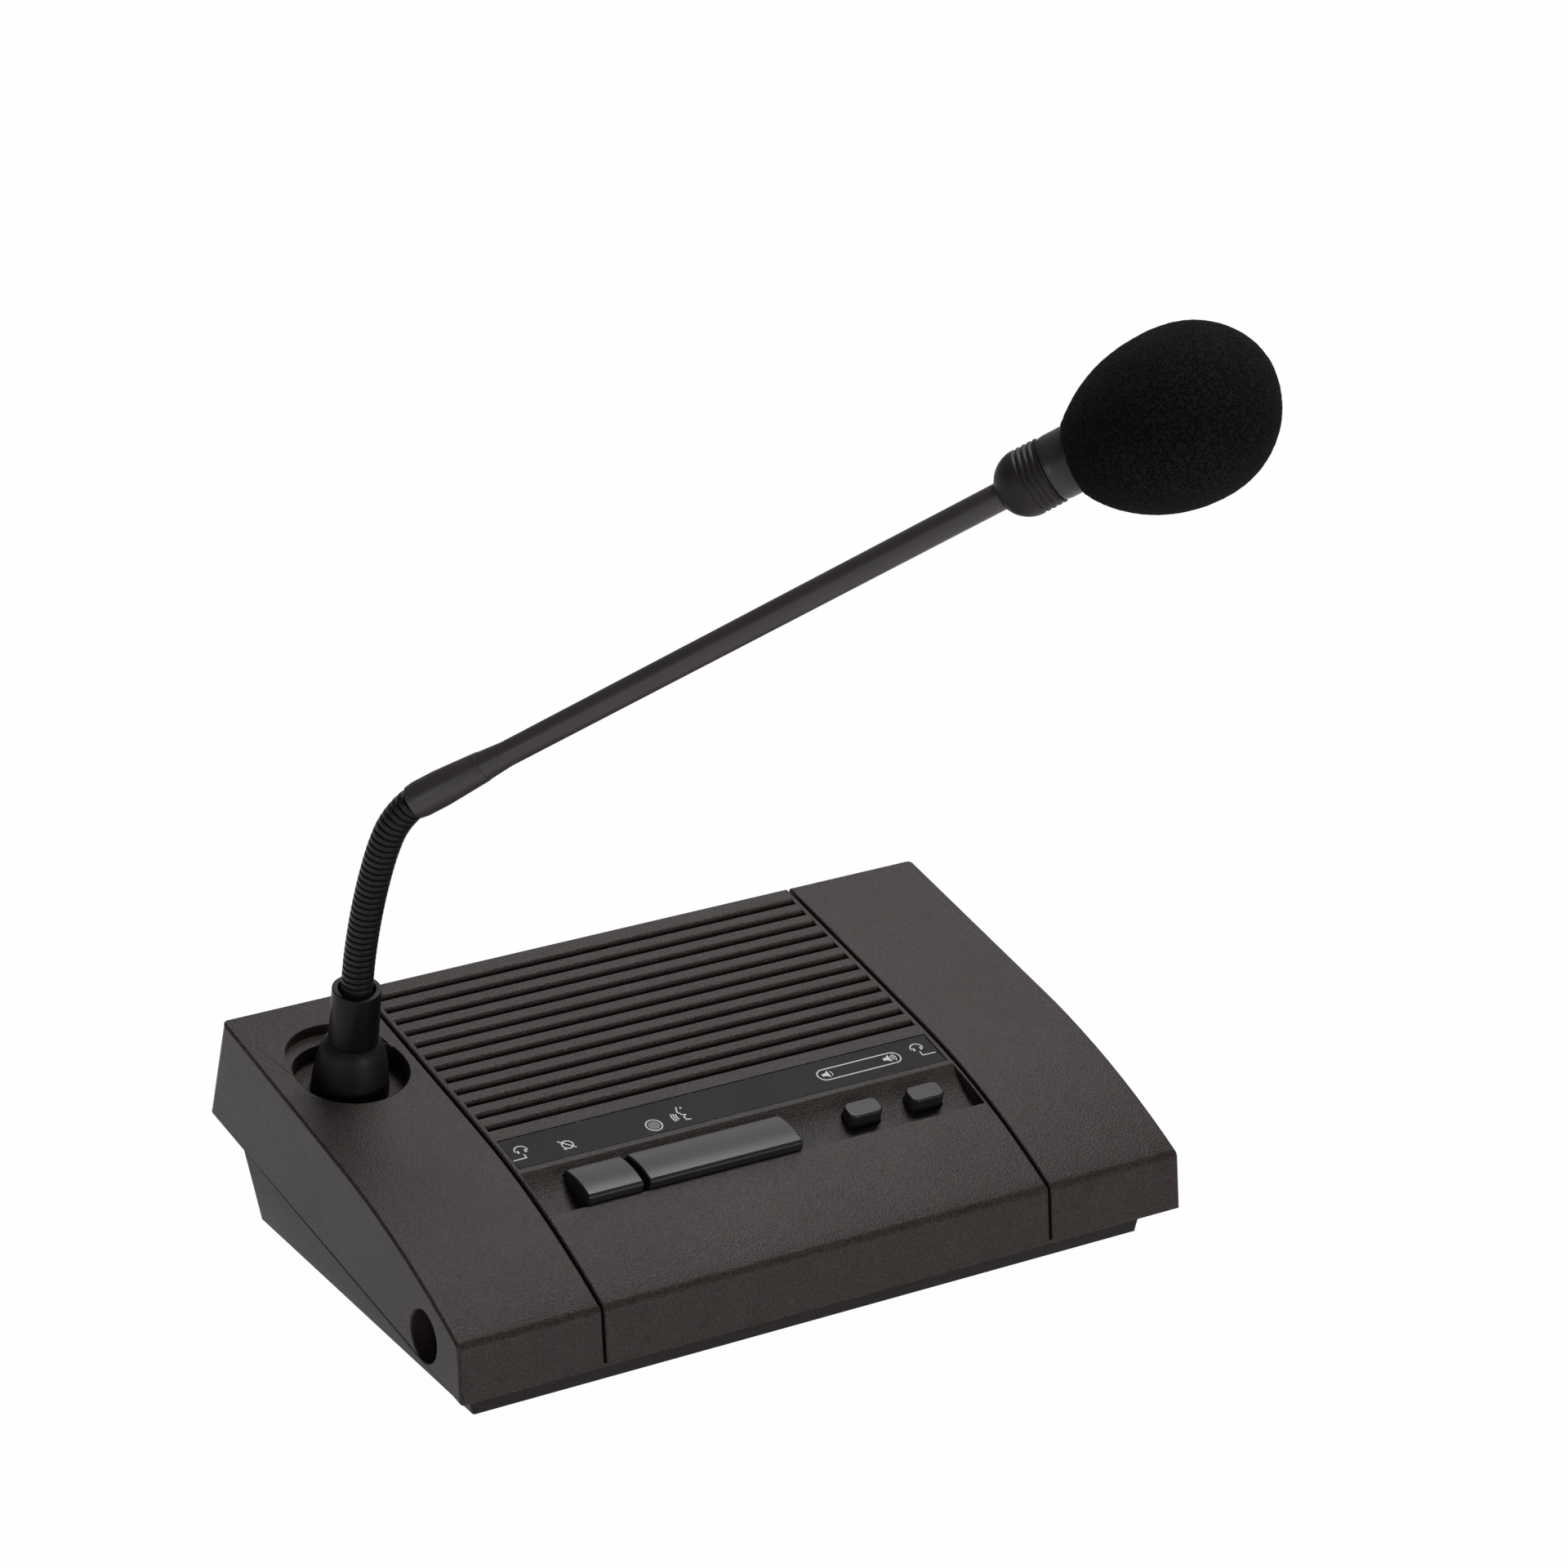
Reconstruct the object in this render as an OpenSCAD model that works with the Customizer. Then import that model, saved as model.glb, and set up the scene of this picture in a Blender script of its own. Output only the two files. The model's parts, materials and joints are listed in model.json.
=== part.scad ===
// Desktop conference microphone: a wedge-shaped talk unit with a loudspeaker grille,
// a label strip, four keys, two headphone sockets and a microphone on a flexible neck.
// Millimetres. X runs across the desk, Y towards the back, Z up.
// The origin lies on the desk, under the middle of the cover.

/* [Cover] */
// Width of the cover across its lower edge
case_w = 205; // [195:1:230]
// Depth of the cover across its lower edge
case_d = 138; // [134:1:150]
// Height of the rear top edge above the desk
rear_top_z = 56.3; // [55:0.1:64]
// Height of the cover's lower edge at the rear
rear_rim_z = 27.9; // [25:0.1:30]
// Height of the cover's lower edge at the front
front_rim_z = 9.7; // [9:0.1:10.5]
// How far the rear wall leans forward at its top
rear_lean = 8.4; // [4:0.1:10]
// How far the front wall leans back at its top
front_lean = 1.5; // [0.5:0.1:3]
// How far each side wall draws in at its top
side_draft = 0.7; // [0.2:0.1:1.5]
// Slope of the flat rear part of the top, in degrees
top_slope = 10; // [8:0.1:11]
// Distance from the label strip's middle back to where the rounded front part of the top ends
crown_back = 10.8; // [8.4:0.1:13.4]
// Radius of the rounded front part of the top
crown_r = 232; // [215:1:260]
// Wall thickness of the cover and of the centre panel
cover_wall = 2.6; // [2.2:0.1:3]
// Thickness of the cover's bottom edge plate
rim_plate = 2.4; // [1.8:0.1:3]
// Gap of the seams around the centre panel
seam_gap = 0.7; // [0.4:0.1:1]

/* [Tub] */
// Distance from the cover's side to the tub's side at the floor
tub_side_inset = 7.4; // [6:0.1:10]
// Distance from the cover's front to the tub's front at the floor
tub_front_inset = 8.2; // [6:0.1:10]
// Distance from the cover's rear to the tub's rear at the floor
tub_rear_inset = 13.7; // [11:0.1:16]
// Draft of the tub's walls, in degrees
tub_draft = 9; // [6:0.5:10]
// Wall thickness of the tub
tub_wall = 2.5; // [2:0.1:3]
// How far the feet stand out under the tub
foot_proud = 1.2; // [0.8:0.1:1.6]
// Radius of a foot
foot_r = 6; // [5:0.1:7]
// Depth of the seat of a foot
foot_seat = 1; // [0.6:0.1:1.4]
// Distance from the tub's side to the middle of a foot
foot_side_inset = 15; // [13:0.5:18]
// Distance from the tub's front to the middle of a front foot
foot_front_inset = 17; // [15:0.5:20]
// Distance from the tub's rear to the middle of a rear foot
foot_rear_inset = 17; // [15:0.5:20]

/* [Case screws] */
// Radius of the screws that hold the tub to the cover
case_screw_r = 1.4; // [1.2:0.1:1.6]
// Radius of their heads
case_head_r = 2.8; // [2.4:0.1:3]
// Radius of the posts and bosses that they join
case_post_r = 4.2; // [4:0.1:4.6]
// Length of a case screw inside its boss
case_screw_bite = 8; // [6:0.5:10]
// Distance from the cover's side to the rear screws
rear_screw_side = 15.5; // [15:0.5:18]
// Distance from the cover's rear to the rear screws
rear_screw_back = 21; // [20:0.5:24]
// Height of the joint between rear post and boss
rear_joint_z = 22; // [18:0.5:24]
// Distance from the cover's side to the front screws
front_screw_side = 30.5; // [29:0.5:33]
// Distance from the cover's front to the front screws
front_screw_front = 15; // [14:0.5:18]
// Height of the joint between front post and boss
front_joint_z = 11; // [9:0.5:12]

/* [Centre panel] */
// Width of the cheek on each side of the centre panel
cheek_w = 39.35; // [37.5:0.05:39.5]
// Height of the panel's lower edge over the cover's, on the front wall
panel_lip = 1.6; // [1.5:0.1:4]
// How far the panel reaches down the rear wall
panel_rear_lip = 4; // [3:0.1:6]
// Number of slots in the grille
slot_count = 12; // [8:1:12]
// Distance from the panel's rear wall to the rear slot
slot_back = 1.4; // [0.4:0.1:2.4]
// Distance from the label strip's rear edge to the front slot
slot_front = 5.18; // [4:0.01:6]
// Width of a slot
slot_w = 1.7; // [1.2:0.1:2]
// Rounding of the bar behind each slot
bar_round = 1.4; // [0.8:0.1:1.8]
// Margin between the slots' ends and the panel's edge
slot_margin = 1.5; // [1.3:0.1:3]
// Length of the bosses that carry the panel
panel_boss_l = 4; // [3:0.1:5]
// Radius of the bosses under the panel
boss_r = 2.6; // [2.2:0.1:3]
// Radius of the small screws in these bosses
screw_r = 1.1; // [0.9:0.05:1.3]
// Clearance of a screw in its pilot hole
screw_fit = 0.05; // [0.02:0.01:0.08]
// Length of a small screw inside its boss
screw_bite = 3; // [2.5:0.1:3.5]
// Thickness of the tabs under the panel bosses
tab_t = 2.4; // [2:0.1:3]
// Thickness of the acoustic cloth
cloth_t = 0.4; // [0.3:0.05:0.6]

/* [Label strip] */
// Margin between the strip and the panel's edge
strip_margin = 1.8; // [1.5:0.1:4]
// Depth of the strip from back to front
strip_d = 11.2; // [9:0.1:11.6]
// Distance from the key trough's middle back to the strip's middle
strip_back = 14.8; // [14.4:0.1:15.2]
// Thickness of the film
strip_t = 0.6; // [0.4:0.1:0.7]
// Depth of the bed that the film lies in
strip_bed = 0.8; // [0.7:0.1:1.2]
// Gap around the film
strip_gap = 0.25; // [0.15:0.05:0.4]
// Place of the status lens across the key layout
lens_across = -22; // [-30:0.5:-14]
// Place of the status lens on the strip, from the trough's middle
lens_v = 13; // [12:0.1:14]
// Radius of the status lens
lens_r = 2.2; // [1.6:0.1:2.6]
// Clearance around the lens
lens_fit = 0.1; // [0.05:0.01:0.15]

/* [Key trough] */
// Distance from the cover's front to the trough's middle
trough_front = 37.8; // [37.4:0.1:38.2]
// Depth of the trough from back to front
trough_d = 16.2; // [15.6:0.1:16.4]
// How far the trough's floor drops at its front
trough_drop = 3.6; // [3:0.1:4.2]
// Radius of the scooped floor
trough_r = 30; // [24:1:40]
// Depth of the trough's flat underside
trough_under = 6.4; // [6:0.1:7]
// Thickness of the trough's end walls
trough_end = 1; // [0.8:0.1:1.5]

/* [Keys] */
// Front face of the talk and mute keys, from the trough's middle
key_front = -7.7; // [-7.8:0.1:-7]
// Depth of the talk and mute keys
key_d = 12.7; // [11:0.1:13]
// Height of their front edge over the top
key_front_h = 2.2; // [1.5:0.1:3]
// Height of their rear edge over the top
key_rear_h = 0.3; // [0:0.1:1]
// Radius of their crowned top
key_crown_r = 23; // [18:1:40]
// Middle of the talk key in the key layout
talk_across = -12.7; // [-13.5:0.1:-12]
// Width of the talk key in the key layout
talk_span = 43.4; // [40:0.1:44]
// Gap between the mute and talk keys
key_split = 1.7; // [1.5:0.1:2.2]
// Width of the mute key in the key layout
mute_span = 15.4; // [13:0.1:15.6]
// Middle of the pair of volume keys in the key layout
volume_across = 40; // [39.6:0.1:40.6]
// Distance between the volume keys in the key layout
volume_pitch = 18.2; // [17:0.1:18.6]
// Width of a volume key in the key layout
volume_span = 9.8; // [9:0.1:10.4]
// Depth of a volume key
volume_d = 5.6; // [5:0.1:6.4]
// Corner radius of a volume key
volume_round = 2; // [1.6:0.1:2.4]
// Height of a volume key over the top
volume_h = 0.8; // [0.2:0.1:1.6]
// Clearance between a key and its hole
key_gap = 0.3; // [0.25:0.05:0.35]
// Travel of a key
key_travel = 1.2; // [0.8:0.1:1.4]
// Thickness of the flange that keeps a key in
key_flange_t = 1.2; // [1:0.1:1.5]
// How far that flange reaches under the trough
key_flange_out = 1; // [0.8:0.1:1.4]
// Width of a switch housing
switch_w = 8; // [7:0.1:9]
// Height of a switch housing
switch_h = 4; // [3.6:0.1:4.4]
// Radius of a switch plunger
plunger_r = 1.75; // [1.5:0.05:2]
// Clearance of the plunger in its housing
plunger_fit = 0.05; // [0.02:0.01:0.08]
// How far the plunger stands out at rest
plunger_out = 1.5; // [1.4:0.1:1.8]
// How deep the plunger reaches into its housing
plunger_in = 2; // [1.6:0.1:2.2]

/* [Main board] */
// Depth of the board's upper face under the top
board_depth = 15; // [14.8:0.1:16]
// Thickness of the board
board_t = 1.6; // [1.2:0.1:2]
// Margin between the board and the panel's edge
board_margin = 2; // [1:0.1:3]
// Front edge of the board, from the trough's middle
board_front = -11; // [-12:0.1:-10]
// Depth of the board from back to front
board_d = 28; // [27:0.5:29]
// Place of the rear row of board screws, from the trough's middle
board_rear_row = 14; // [13:0.1:14.4]

/* [Loudspeaker] */
// Distance from the cover's rear to the loudspeaker's rim
speaker_rear = 10; // [9:0.1:12]
// Distance from the key trough's middle back to the loudspeaker's rim
speaker_front = 20.2; // [19:0.1:22]
// Width of the rim
speaker_rim = 7; // [6:0.1:8]
// Thickness of the rim
speaker_rim_t = 1.5; // [1.2:0.1:2]
// Thickness of the gasket
gasket_t = 1.6; // [1.2:0.1:2]
// Depth of the basket behind the rim
basket_d = 15; // [13:0.5:17]
// Radius of the basket's back
basket_back_r = 15; // [13:0.5:17]
// Radius of the magnet
magnet_r = 16; // [14:0.5:18]
// Length of the magnet
magnet_l = 9; // [7:0.5:10]
// Distance of the loudspeaker's screws from its rim
speaker_ear = 3.5; // [3:0.1:4.4]

/* [Headphone sockets] */
// Distance from the cover's front to the sockets
jack_front = 19.3; // [18.5:0.1:20]
// Height of the sockets above the desk
jack_z = 19.2; // [19.2:0.1:20]
// Radius of the recess in the cover's side
recess_r = 6.6; // [6:0.1:6.6]
// Depth of that recess
recess_d = 7; // [5:0.1:8]
// Wall around and behind the recess
recess_wall = 1.6; // [1.2:0.1:2]
// Radius of the threaded neck of a socket
jack_neck_r = 4; // [3.4:0.1:4.2]
// Clearance around that neck
jack_fit = 0.1; // [0.05:0.01:0.15]
// Radius of the hole for the plug
plug_r = 1.8; // [1.75:0.05:3.2]
// Depth of the hole for the plug
plug_depth = 14; // [12:0.5:15]
// Width and height of a socket's body
jack_body_w = 11; // [10:0.1:12]
// Length of a socket's body
jack_body_l = 14; // [13:0.5:16]
// Radius of the ring nut
jack_nut_r = 5.6; // [5:0.1:5.8]
// Thickness of the ring nut
jack_nut_t = 1.6; // [1.2:0.1:2]
// How far the threaded neck stands out of its nut
jack_neck_out = 0.4; // [0.2:0.1:0.8]

/* [Link sockets] */
// Width of a link socket
link_w = 16; // [15:0.1:17]
// Height of a link socket
link_h = 13.5; // [13:0.1:14]
// Length of a link socket
link_l = 18; // [16:0.5:20]
// Distance between the two link sockets
link_pitch = 26; // [22:0.5:32]
// Width of a link socket's mouth
link_mouth_w = 11.8; // [11.6:0.1:12.2]
// Height of a link socket's mouth
link_mouth_h = 8; // [7.6:0.1:8.4]
// Depth of a link socket's mouth
link_mouth_d = 13; // [12:0.5:14]
// Gap between a link socket and the tub's wall
link_gap = 0.2; // [0.1:0.05:0.3]

/* [Neck seat] */
// Distance from the centre panel's edge to the neck
neck_to_panel = 17.85; // [17.35:0.05:18.35]
// Distance from the cover's rear to the neck
neck_back = 39.3; // [38.5:0.1:40]
// Radius of the well
well_r = 14.6; // [14:0.1:15.5]
// Depth of the well
well_depth = 6; // [4.5:0.1:6.5]
// Radius of the level step behind the well
step_r = 13.4; // [12.5:0.1:14]
// Distance from the neck back to the step's middle
step_back = 6.5; // [5:0.1:7.5]
// Height of the step's floor over the neck's place on the top
step_rise = 0.9; // [0.5:0.1:1.5]
// Thickness of the well's floor and wall
well_wall = 3; // [2.5:0.1:3.5]
// Radius of the threaded bush through the well's floor
bush_r = 6; // [5.5:0.1:6.5]
// Clearance of the bush in the floor
bush_fit = 0.1; // [0.05:0.01:0.2]
// Radius of the bush's flange
bush_flange_r = 8; // [7.5:0.1:8.4]
// Thickness of the bush's flange
bush_flange_t = 2; // [1.5:0.1:2.5]
// Radius of the spigot inside the collar
spigot_r = 4.4; // [4:0.1:4.6]
// Clearance between spigot and collar
spigot_fit = 0.1; // [0.05:0.01:0.15]
// Height of the spigot's top over the cover
spigot_top = 13; // [12:0.5:16]
// Thickness of the washer
washer_t = 0.8; // [0.6:0.1:1.2]
// Thickness of the nut
nut_t = 4; // [3:0.5:5]
// Width of the nut across its corners
nut_corners = 19; // [17:0.5:21]
// Lower radius of the bell boot
bell_r = 9.85; // [9.2:0.05:10.5]
// Upper radius of the bell boot
bell_top_r = 6.4; // [6:0.1:7]
// Height of the bell boot's top over the cover
bell_top = 9; // [7:0.1:10]
// Lower radius of the collar
collar_r = 6.3; // [6:0.05:6.6]
// Upper radius of the collar
collar_top_r = 6.15; // [5.9:0.05:6.3]
// Height of the collar's rim over the cover
collar_top = 24.3; // [22:0.1:28]
// Wall of the collar at its open rim
collar_lip = 1.5; // [1.2:0.05:1.7]
// Depth of the open cup at the collar's rim
collar_cup = 5; // [3:0.5:8]

/* [Flexible neck] */
// Radius of the ribbed neck
neck_r = 4; // [3.8:0.05:4.1]
// Number of bending points in the neck
neck_joints = 8; // [8:1:8]
// Height of the first bending point over the collar's rim
neck_first = 5; // [4:0.1:6]
// Distance between bending points
neck_step = 7.3; // [7:0.1:8]
// Direction of the neck's bend, in degrees from straight across towards the front
neck_heading = 31; // [0:1:60]
// Gentle part of the neck's lean at rest, in degrees
neck_sag = 14.6; // [8:0.1:18]
// Lean of the stem against the collar at rest, in degrees
neck_bend = 53; // [46:0.5:55]
// Sharpness of the bend near the top of the neck
neck_curl = 11; // [9:0.5:14]
// Radius of the ball at each bending point
ball_r = 3.3; // [3.2:0.05:3.4]
// Gap between ball and socket
ball_gap = 0.15; // [0.1:0.01:0.2]
// How far the ball reaches over its own centre
ball_cap = 2.2; // [1.8:0.1:2.4]
// Gap between the rims of two links
rim_gap = 2; // [1.9:0.05:2.2]
// Radius of the bore for the microphone's wires
neck_bore = 1.6; // [1.2:0.1:1.8]
// Number of ribs on a link
link_ribs = 3; // [2:1:4]
// Width of the grooves between ribs
groove_w = 0.45; // [0.3:0.05:0.6]
// Depth of the grooves between ribs
groove_d = 0.45; // [0.3:0.05:0.5]

/* [Stem and head] */
// Radius of the coupling sleeve
sleeve_r = 4.55; // [4.3:0.05:4.8]
// Length of the sleeve's straight part
sleeve_straight = 9; // [8:0.5:10]
// Length of the sleeve
sleeve_l = 21; // [19:0.5:24]
// Radius at the joint of sleeve and stem
sleeve_end_r = 3.7; // [3.5:0.05:3.9]
// Radius of the spigot inside the stem's lower end
stem_spigot_r = 2.4; // [2.2:0.05:2.5]
// Length of that spigot
stem_spigot_l = 6; // [4:0.5:8]
// Clearance of the spigot in the stem
stem_fit = 0.05; // [0.02:0.01:0.08]
// Length of the stem, up to its boot
stem_l = 143.5; // [120:0.5:170]
// Length of the flare at the stem's lower end
stem_flare = 6.5; // [5:0.5:8]
// Radius of the stem at its lower end
stem_r = 3.05; // [2.9:0.05:3.2]
// Radius of the stem at its upper end
stem_top_r = 3.4; // [3.2:0.05:3.5]
// How far the stem reaches into the housing
stem_in = 10; // [8.5:0.5:11]
// Length of the bellows boot
bellows_l = 13; // [12:0.1:14]
// Largest radius of the bellows boot
bellows_r = 8.2; // [8:0.1:8.6]
// Number of ribs on the bellows boot
bellows_ribs = 4; // [3:1:5]
// Depth of the grooves between these ribs
bellows_groove = 0.6; // [0.4:0.1:0.8]
// Length of the boot's rounded start
bellows_start = 5.5; // [5:0.1:6]
// Clearance inside the bellows boot
bellows_fit = 0.1; // [0.05:0.01:0.15]
// Radius of the capsule housing
housing_r = 8; // [7.8:0.05:8.2]
// Length of the housing in front of the boot
housing_l = 22.5; // [21:0.5:25]
// Radius of the housing's neck inside the boot
housing_neck_r = 6.3; // [6:0.1:6.6]
// Wall of the housing
housing_wall = 1.1; // [0.9:0.05:1.3]
// Length of the capsule
capsule_l = 8; // [6:0.5:9]
// Clearance around the capsule and its guard
capsule_fit = 0.05; // [0.02:0.01:0.08]
// Length of the guard in front of the capsule
guard_l = 6; // [5:0.5:7]
// Wall of the guard
guard_wall = 0.8; // [0.6:0.1:1]
// Half of the windscreen's length
foam_half_l = 27.5; // [25:0.1:32]
// Largest radius of the windscreen
foam_r = 21; // [18:0.1:26]
// How much of the housing shows behind the windscreen
housing_shown = 7.4; // [6:0.1:9]
// Clearance between windscreen and housing
foam_gap = 0.35; // [0.3:0.05:0.5]
// Depth left free in the windscreen's pocket
foam_pocket = 3; // [2:0.5:4]
// How far the windscreen hangs down on its housing, in degrees
foam_sag = 6.5; // [0:0.5:8]

/* [Hidden] */

// Facets of round outlines
$fn = 64;
// An amount by which cuts run past the faces that they open
past = 1;
// A length beyond the whole case
far = 300;

// Share of the panel's width that a millimetre of the key layout stands for
layout_share = 1 / 126.3;

// Places on the top, from back to front
panel_w = case_w - 2 * cheek_w;
panel_inner_y = case_d / 2 - rear_lean - 2 * cover_wall;
trough_y = trough_front - case_d / 2;
strip_y = trough_y + strip_back;
crown_y = strip_y + crown_back;
across = panel_w * layout_share;
slot_first_y = panel_inner_y - slot_back;
slot_last_y = strip_y + strip_d / 2 + slot_front;
slot_pitch = (slot_first_y - slot_last_y) / (slot_count - 1);

// Shape of the top
crown_cy = crown_y + crown_r * sin(top_slope);
crown_cz = straight_z(crown_y) - crown_r * cos(top_slope);
front_top_z = top_z(front_lean - case_d / 2);
rear_tilt = atan(rear_lean / (rear_top_z - rear_rim_z));
rim_slope = atan((rear_rim_z - front_rim_z) / case_d);
panel_lip_z = front_rim_z + panel_lip;
panel_rear_z = rear_top_z - panel_rear_lip;

// Shape of the tub
tub_w = case_w - 2 * tub_side_inset;
tub_front_y = tub_front_inset - case_d / 2;
tub_rear_y = case_d / 2 - tub_rear_inset;
tub_floor_z = foot_proud + tub_wall;

// Places of the posts, bosses, feet and screws
rear_screw_x = case_w / 2 - rear_screw_side;
rear_screw_y = case_d / 2 - rear_screw_back;
front_screw_x = case_w / 2 - front_screw_side;
front_screw_y = front_screw_front - case_d / 2;
foot_x = tub_w / 2 - foot_side_inset;
foot_rows = [tub_front_y + foot_front_inset, tub_rear_y - foot_rear_inset];
foot_spots = [for (x = [-foot_x, foot_x]) for (y = foot_rows) [x, y]];
screw_spots = [
    for (side = [-1, 1]) each [
        [side * rear_screw_x, rear_screw_y, rear_joint_z],
        [side * front_screw_x, front_screw_y, front_joint_z]
    ]
];
case_head_depth = 1.8;
screw_head_t = 1.4;

// Panel bosses, clear of the cloth behind and of the trough in front
panel_boss_x = panel_w / 2 - 2 * boss_r;
cloth_front_y = slot_last_y - slot_w;
cloth_lap = 0.4;
panel_boss_rows = [cloth_front_y - boss_r - 1.5, trough_y - trough_d / 2 - 3 * boss_r];
panel_boss_spots = [for (side = [-1, 1]) for (y = panel_boss_rows) [side * panel_boss_x, y]];
tab_reach = boss_r + past;
tab_low = cover_wall + panel_boss_l + tab_t;

// Keys
talk_x = talk_across * across;
talk_w = talk_span * across;
mute_w = mute_span * across;
mute_x = talk_x - talk_w / 2 - key_split - mute_w / 2;
volume_w = volume_span * across;
volume_x = volume_across * across;
volume_down_x = volume_x - volume_pitch * across / 2;
volume_up_x = volume_x + volume_pitch * across / 2;
key_rear = key_front + key_d;
key_v = key_front + key_d / 2;
key_base = trough_under + key_gap;
key_flange_low = key_base + key_flange_t;
switch_top = board_depth - switch_h;
plunger_top = switch_top - plunger_out;

// Board
board_w = panel_w - 2 * board_margin;
board_screw_x = [
    mute_x - mute_w / 2 - key_flange_out - boss_r - 2.5,
    (talk_x + talk_w / 2 + volume_down_x - volume_w / 2) / 2,
    board_w / 2 - boss_r + 0.4
];
board_screw_spots = [
    for (x = board_screw_x) [x, 0],
    [board_screw_x[0], board_rear_row],
    [board_screw_x[2], board_rear_row]
];

// The status lamp, and how far the top falls from the trough's plane to the lens
lens_x = lens_across * across;
led_h = 2.6;
led_r = 1.2;
led_base_w = 4;
led_base_d = 3;
led_base_t = 1;
lens_drop = pow(lens_v, 2) / (2 * crown_r);

// Loudspeaker, measured down from the top
speaker_y = (case_d / 2 - speaker_rear + trough_y + speaker_front) / 2;
speaker_r = (case_d / 2 - speaker_rear - trough_y - speaker_front) / 2;
speaker_screw_pcr = speaker_r + speaker_ear;
cloth_low = cover_wall + cloth_t;
gasket_low = cloth_low + gasket_t;
rim_low = gasket_low + speaker_rim_t;
basket_low = rim_low + basket_d;
ear_r = speaker_screw_pcr - speaker_r + past;
basket_t = 1.2;
basket_window = 50;
cone_t = 1.4;
cone_fold = 3;
coil_r = 8;
coil_t = 1;

// Components under the board, and the leads that join them to the neck and the loudspeaker
chip_w = 12;
chip_h = 1.6;
header_w = 6;
header_h = 6;
part_v = 8;
lead_r = 1;
lead_drop = 5;
lead_gap = 0.4;
mic_header_x = mute_x;
speaker_header_x = board_screw_x[1];
speaker_lead_v = sqrt(pow(speaker_r - lead_r, 2) - pow(speaker_header_x, 2)) - lead_r;

// Headphone sockets
jack_y = jack_front - case_d / 2;
recess_x = case_w / 2 - recess_d;
jack_seat_x = recess_x - recess_wall;
jack_face_x = recess_x + jack_nut_t + jack_neck_out;

// Link sockets, standing on the tub's floor
link_face_y = tub_rear_y + (link_h + tub_wall) * tan(tub_draft);
link_mouth_z = 2;

// Neck
neck_x = -panel_w / 2 - neck_to_panel;
neck_y = case_d / 2 - neck_back;
neck_len = neck_first + neck_step * (neck_joints - 1);
well_low = well_depth + well_wall;
nut_low = well_low + washer_t + nut_t;
bush_low = nut_low + 2;
rib_pitch = (neck_step - rim_gap) / link_ribs;

// Head, measured from the last bending point
stem_top = sleeve_l + stem_l;
bellows_top = stem_top + bellows_l;
housing_back = stem_top + bellows_start + 1;
housing_front = bellows_top + housing_l;
foam_bore = housing_r + foam_gap;
foam_mouth = bellows_top + housing_shown;
foam_mouth_r = foam_bore + 1.2;
foam_mouth_turn = 180 - asin(foam_mouth_r / foam_r);
foam_mid = foam_half_l * sqrt(1 - pow(foam_mouth_r / foam_r, 2));
foam_rings = 28;
capsule_r = housing_r - housing_wall - capsule_fit;
capsule_back = housing_front - capsule_l - guard_l;

// Height of the flat part of the top, carried on at its slope
function straight_z(y) = rear_top_z - (case_d / 2 - rear_lean - y) * tan(top_slope);
// Height of the top
function top_z(y) = y >= crown_y ? straight_z(y) : crown_cz + sqrt(pow(crown_r, 2) - pow(y - crown_cy, 2));
// Slope of the top, in degrees
function slope_at(y) = y >= crown_y ? top_slope : asin((crown_cy - y) / crown_r);
// A point v behind and w over a place on the top
function top_point(x, y, v, w) =
    let (s = slope_at(y)) [x, y + v * cos(s) - w * sin(s), top_z(y) + v * sin(s) + w * cos(s)];
// Height of the cover's lower edge
function rim_z(y) = front_rim_z + (y + case_d / 2) * tan(rim_slope);
// Front and rear walls, t inside their outer faces
function front_y(z, t) = t - case_d / 2 + front_lean * (z - front_rim_z) / (front_top_z - front_rim_z);
function rear_y(z, t) = case_d / 2 - t / cos(rear_tilt) - (z - rear_rim_z) * tan(rear_tilt);
// Lean of a link of the neck, and the place of its lower bending point in the plane of the bend
function link_station(i) = (neck_first + neck_step * (i - 0.5)) / neck_len;
function link_lean(i) = neck_sag * link_station(i) + (neck_bend - neck_sag) * pow(link_station(i), neck_curl);
function joint_at(i) =
    i == 1 ? [0, 0, collar_top + neck_first]
    : joint_at(i - 1) + neck_step * [sin(link_lean(i - 1)), 0, cos(link_lean(i - 1))];

// Extrudes an outline drawn in Y and Z across X
module along_x(w) {
    rotate([90, 0, 90]) translate([0, 0, -w / 2]) linear_extrude(w) children();
}

// Moves to a point of the top, with Z along its outward normal
module on_top(x, y) {
    translate([x, y, top_z(y)]) rotate([slope_at(y), 0, 0]) children();
}

// Moves to the middle of the level step behind the neck
module at_step() {
    translate([neck_x, neck_y + step_back, top_z(neck_y) + step_rise]) children();
}

// The plane in which the neck bends: Z along the collar, X towards the head
module neck_plane() {
    on_top(neck_x, neck_y) rotate([0, 0, -neck_heading]) children();
}

// Moves to a bending point of the neck, with Z along the piece above it
module at_joint(i, lean) {
    neck_plane() translate(joint_at(i)) rotate([0, lean, 0]) children();
}

// Moves to the last bending point, with Z along the stem
module at_head() {
    at_joint(neck_joints, neck_bend) children();
}

// Everything under the top, t inside its skin
module under_top(t) {
    turn = crown_y + t * sin(top_slope);
    drop = t / cos(top_slope);
    high = straight_z(turn) - drop;
    polygon([
        [turn - past, -far], [far, -far], [far, straight_z(far) - drop],
        [turn, high], [turn - past, high - past]
    ]);
    intersection() {
        translate([crown_cy, crown_cz]) circle(r = crown_r - t, $fn = 180);
        translate([-far, -far]) square([far + turn, 2 * far]);
    }
}

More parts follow.
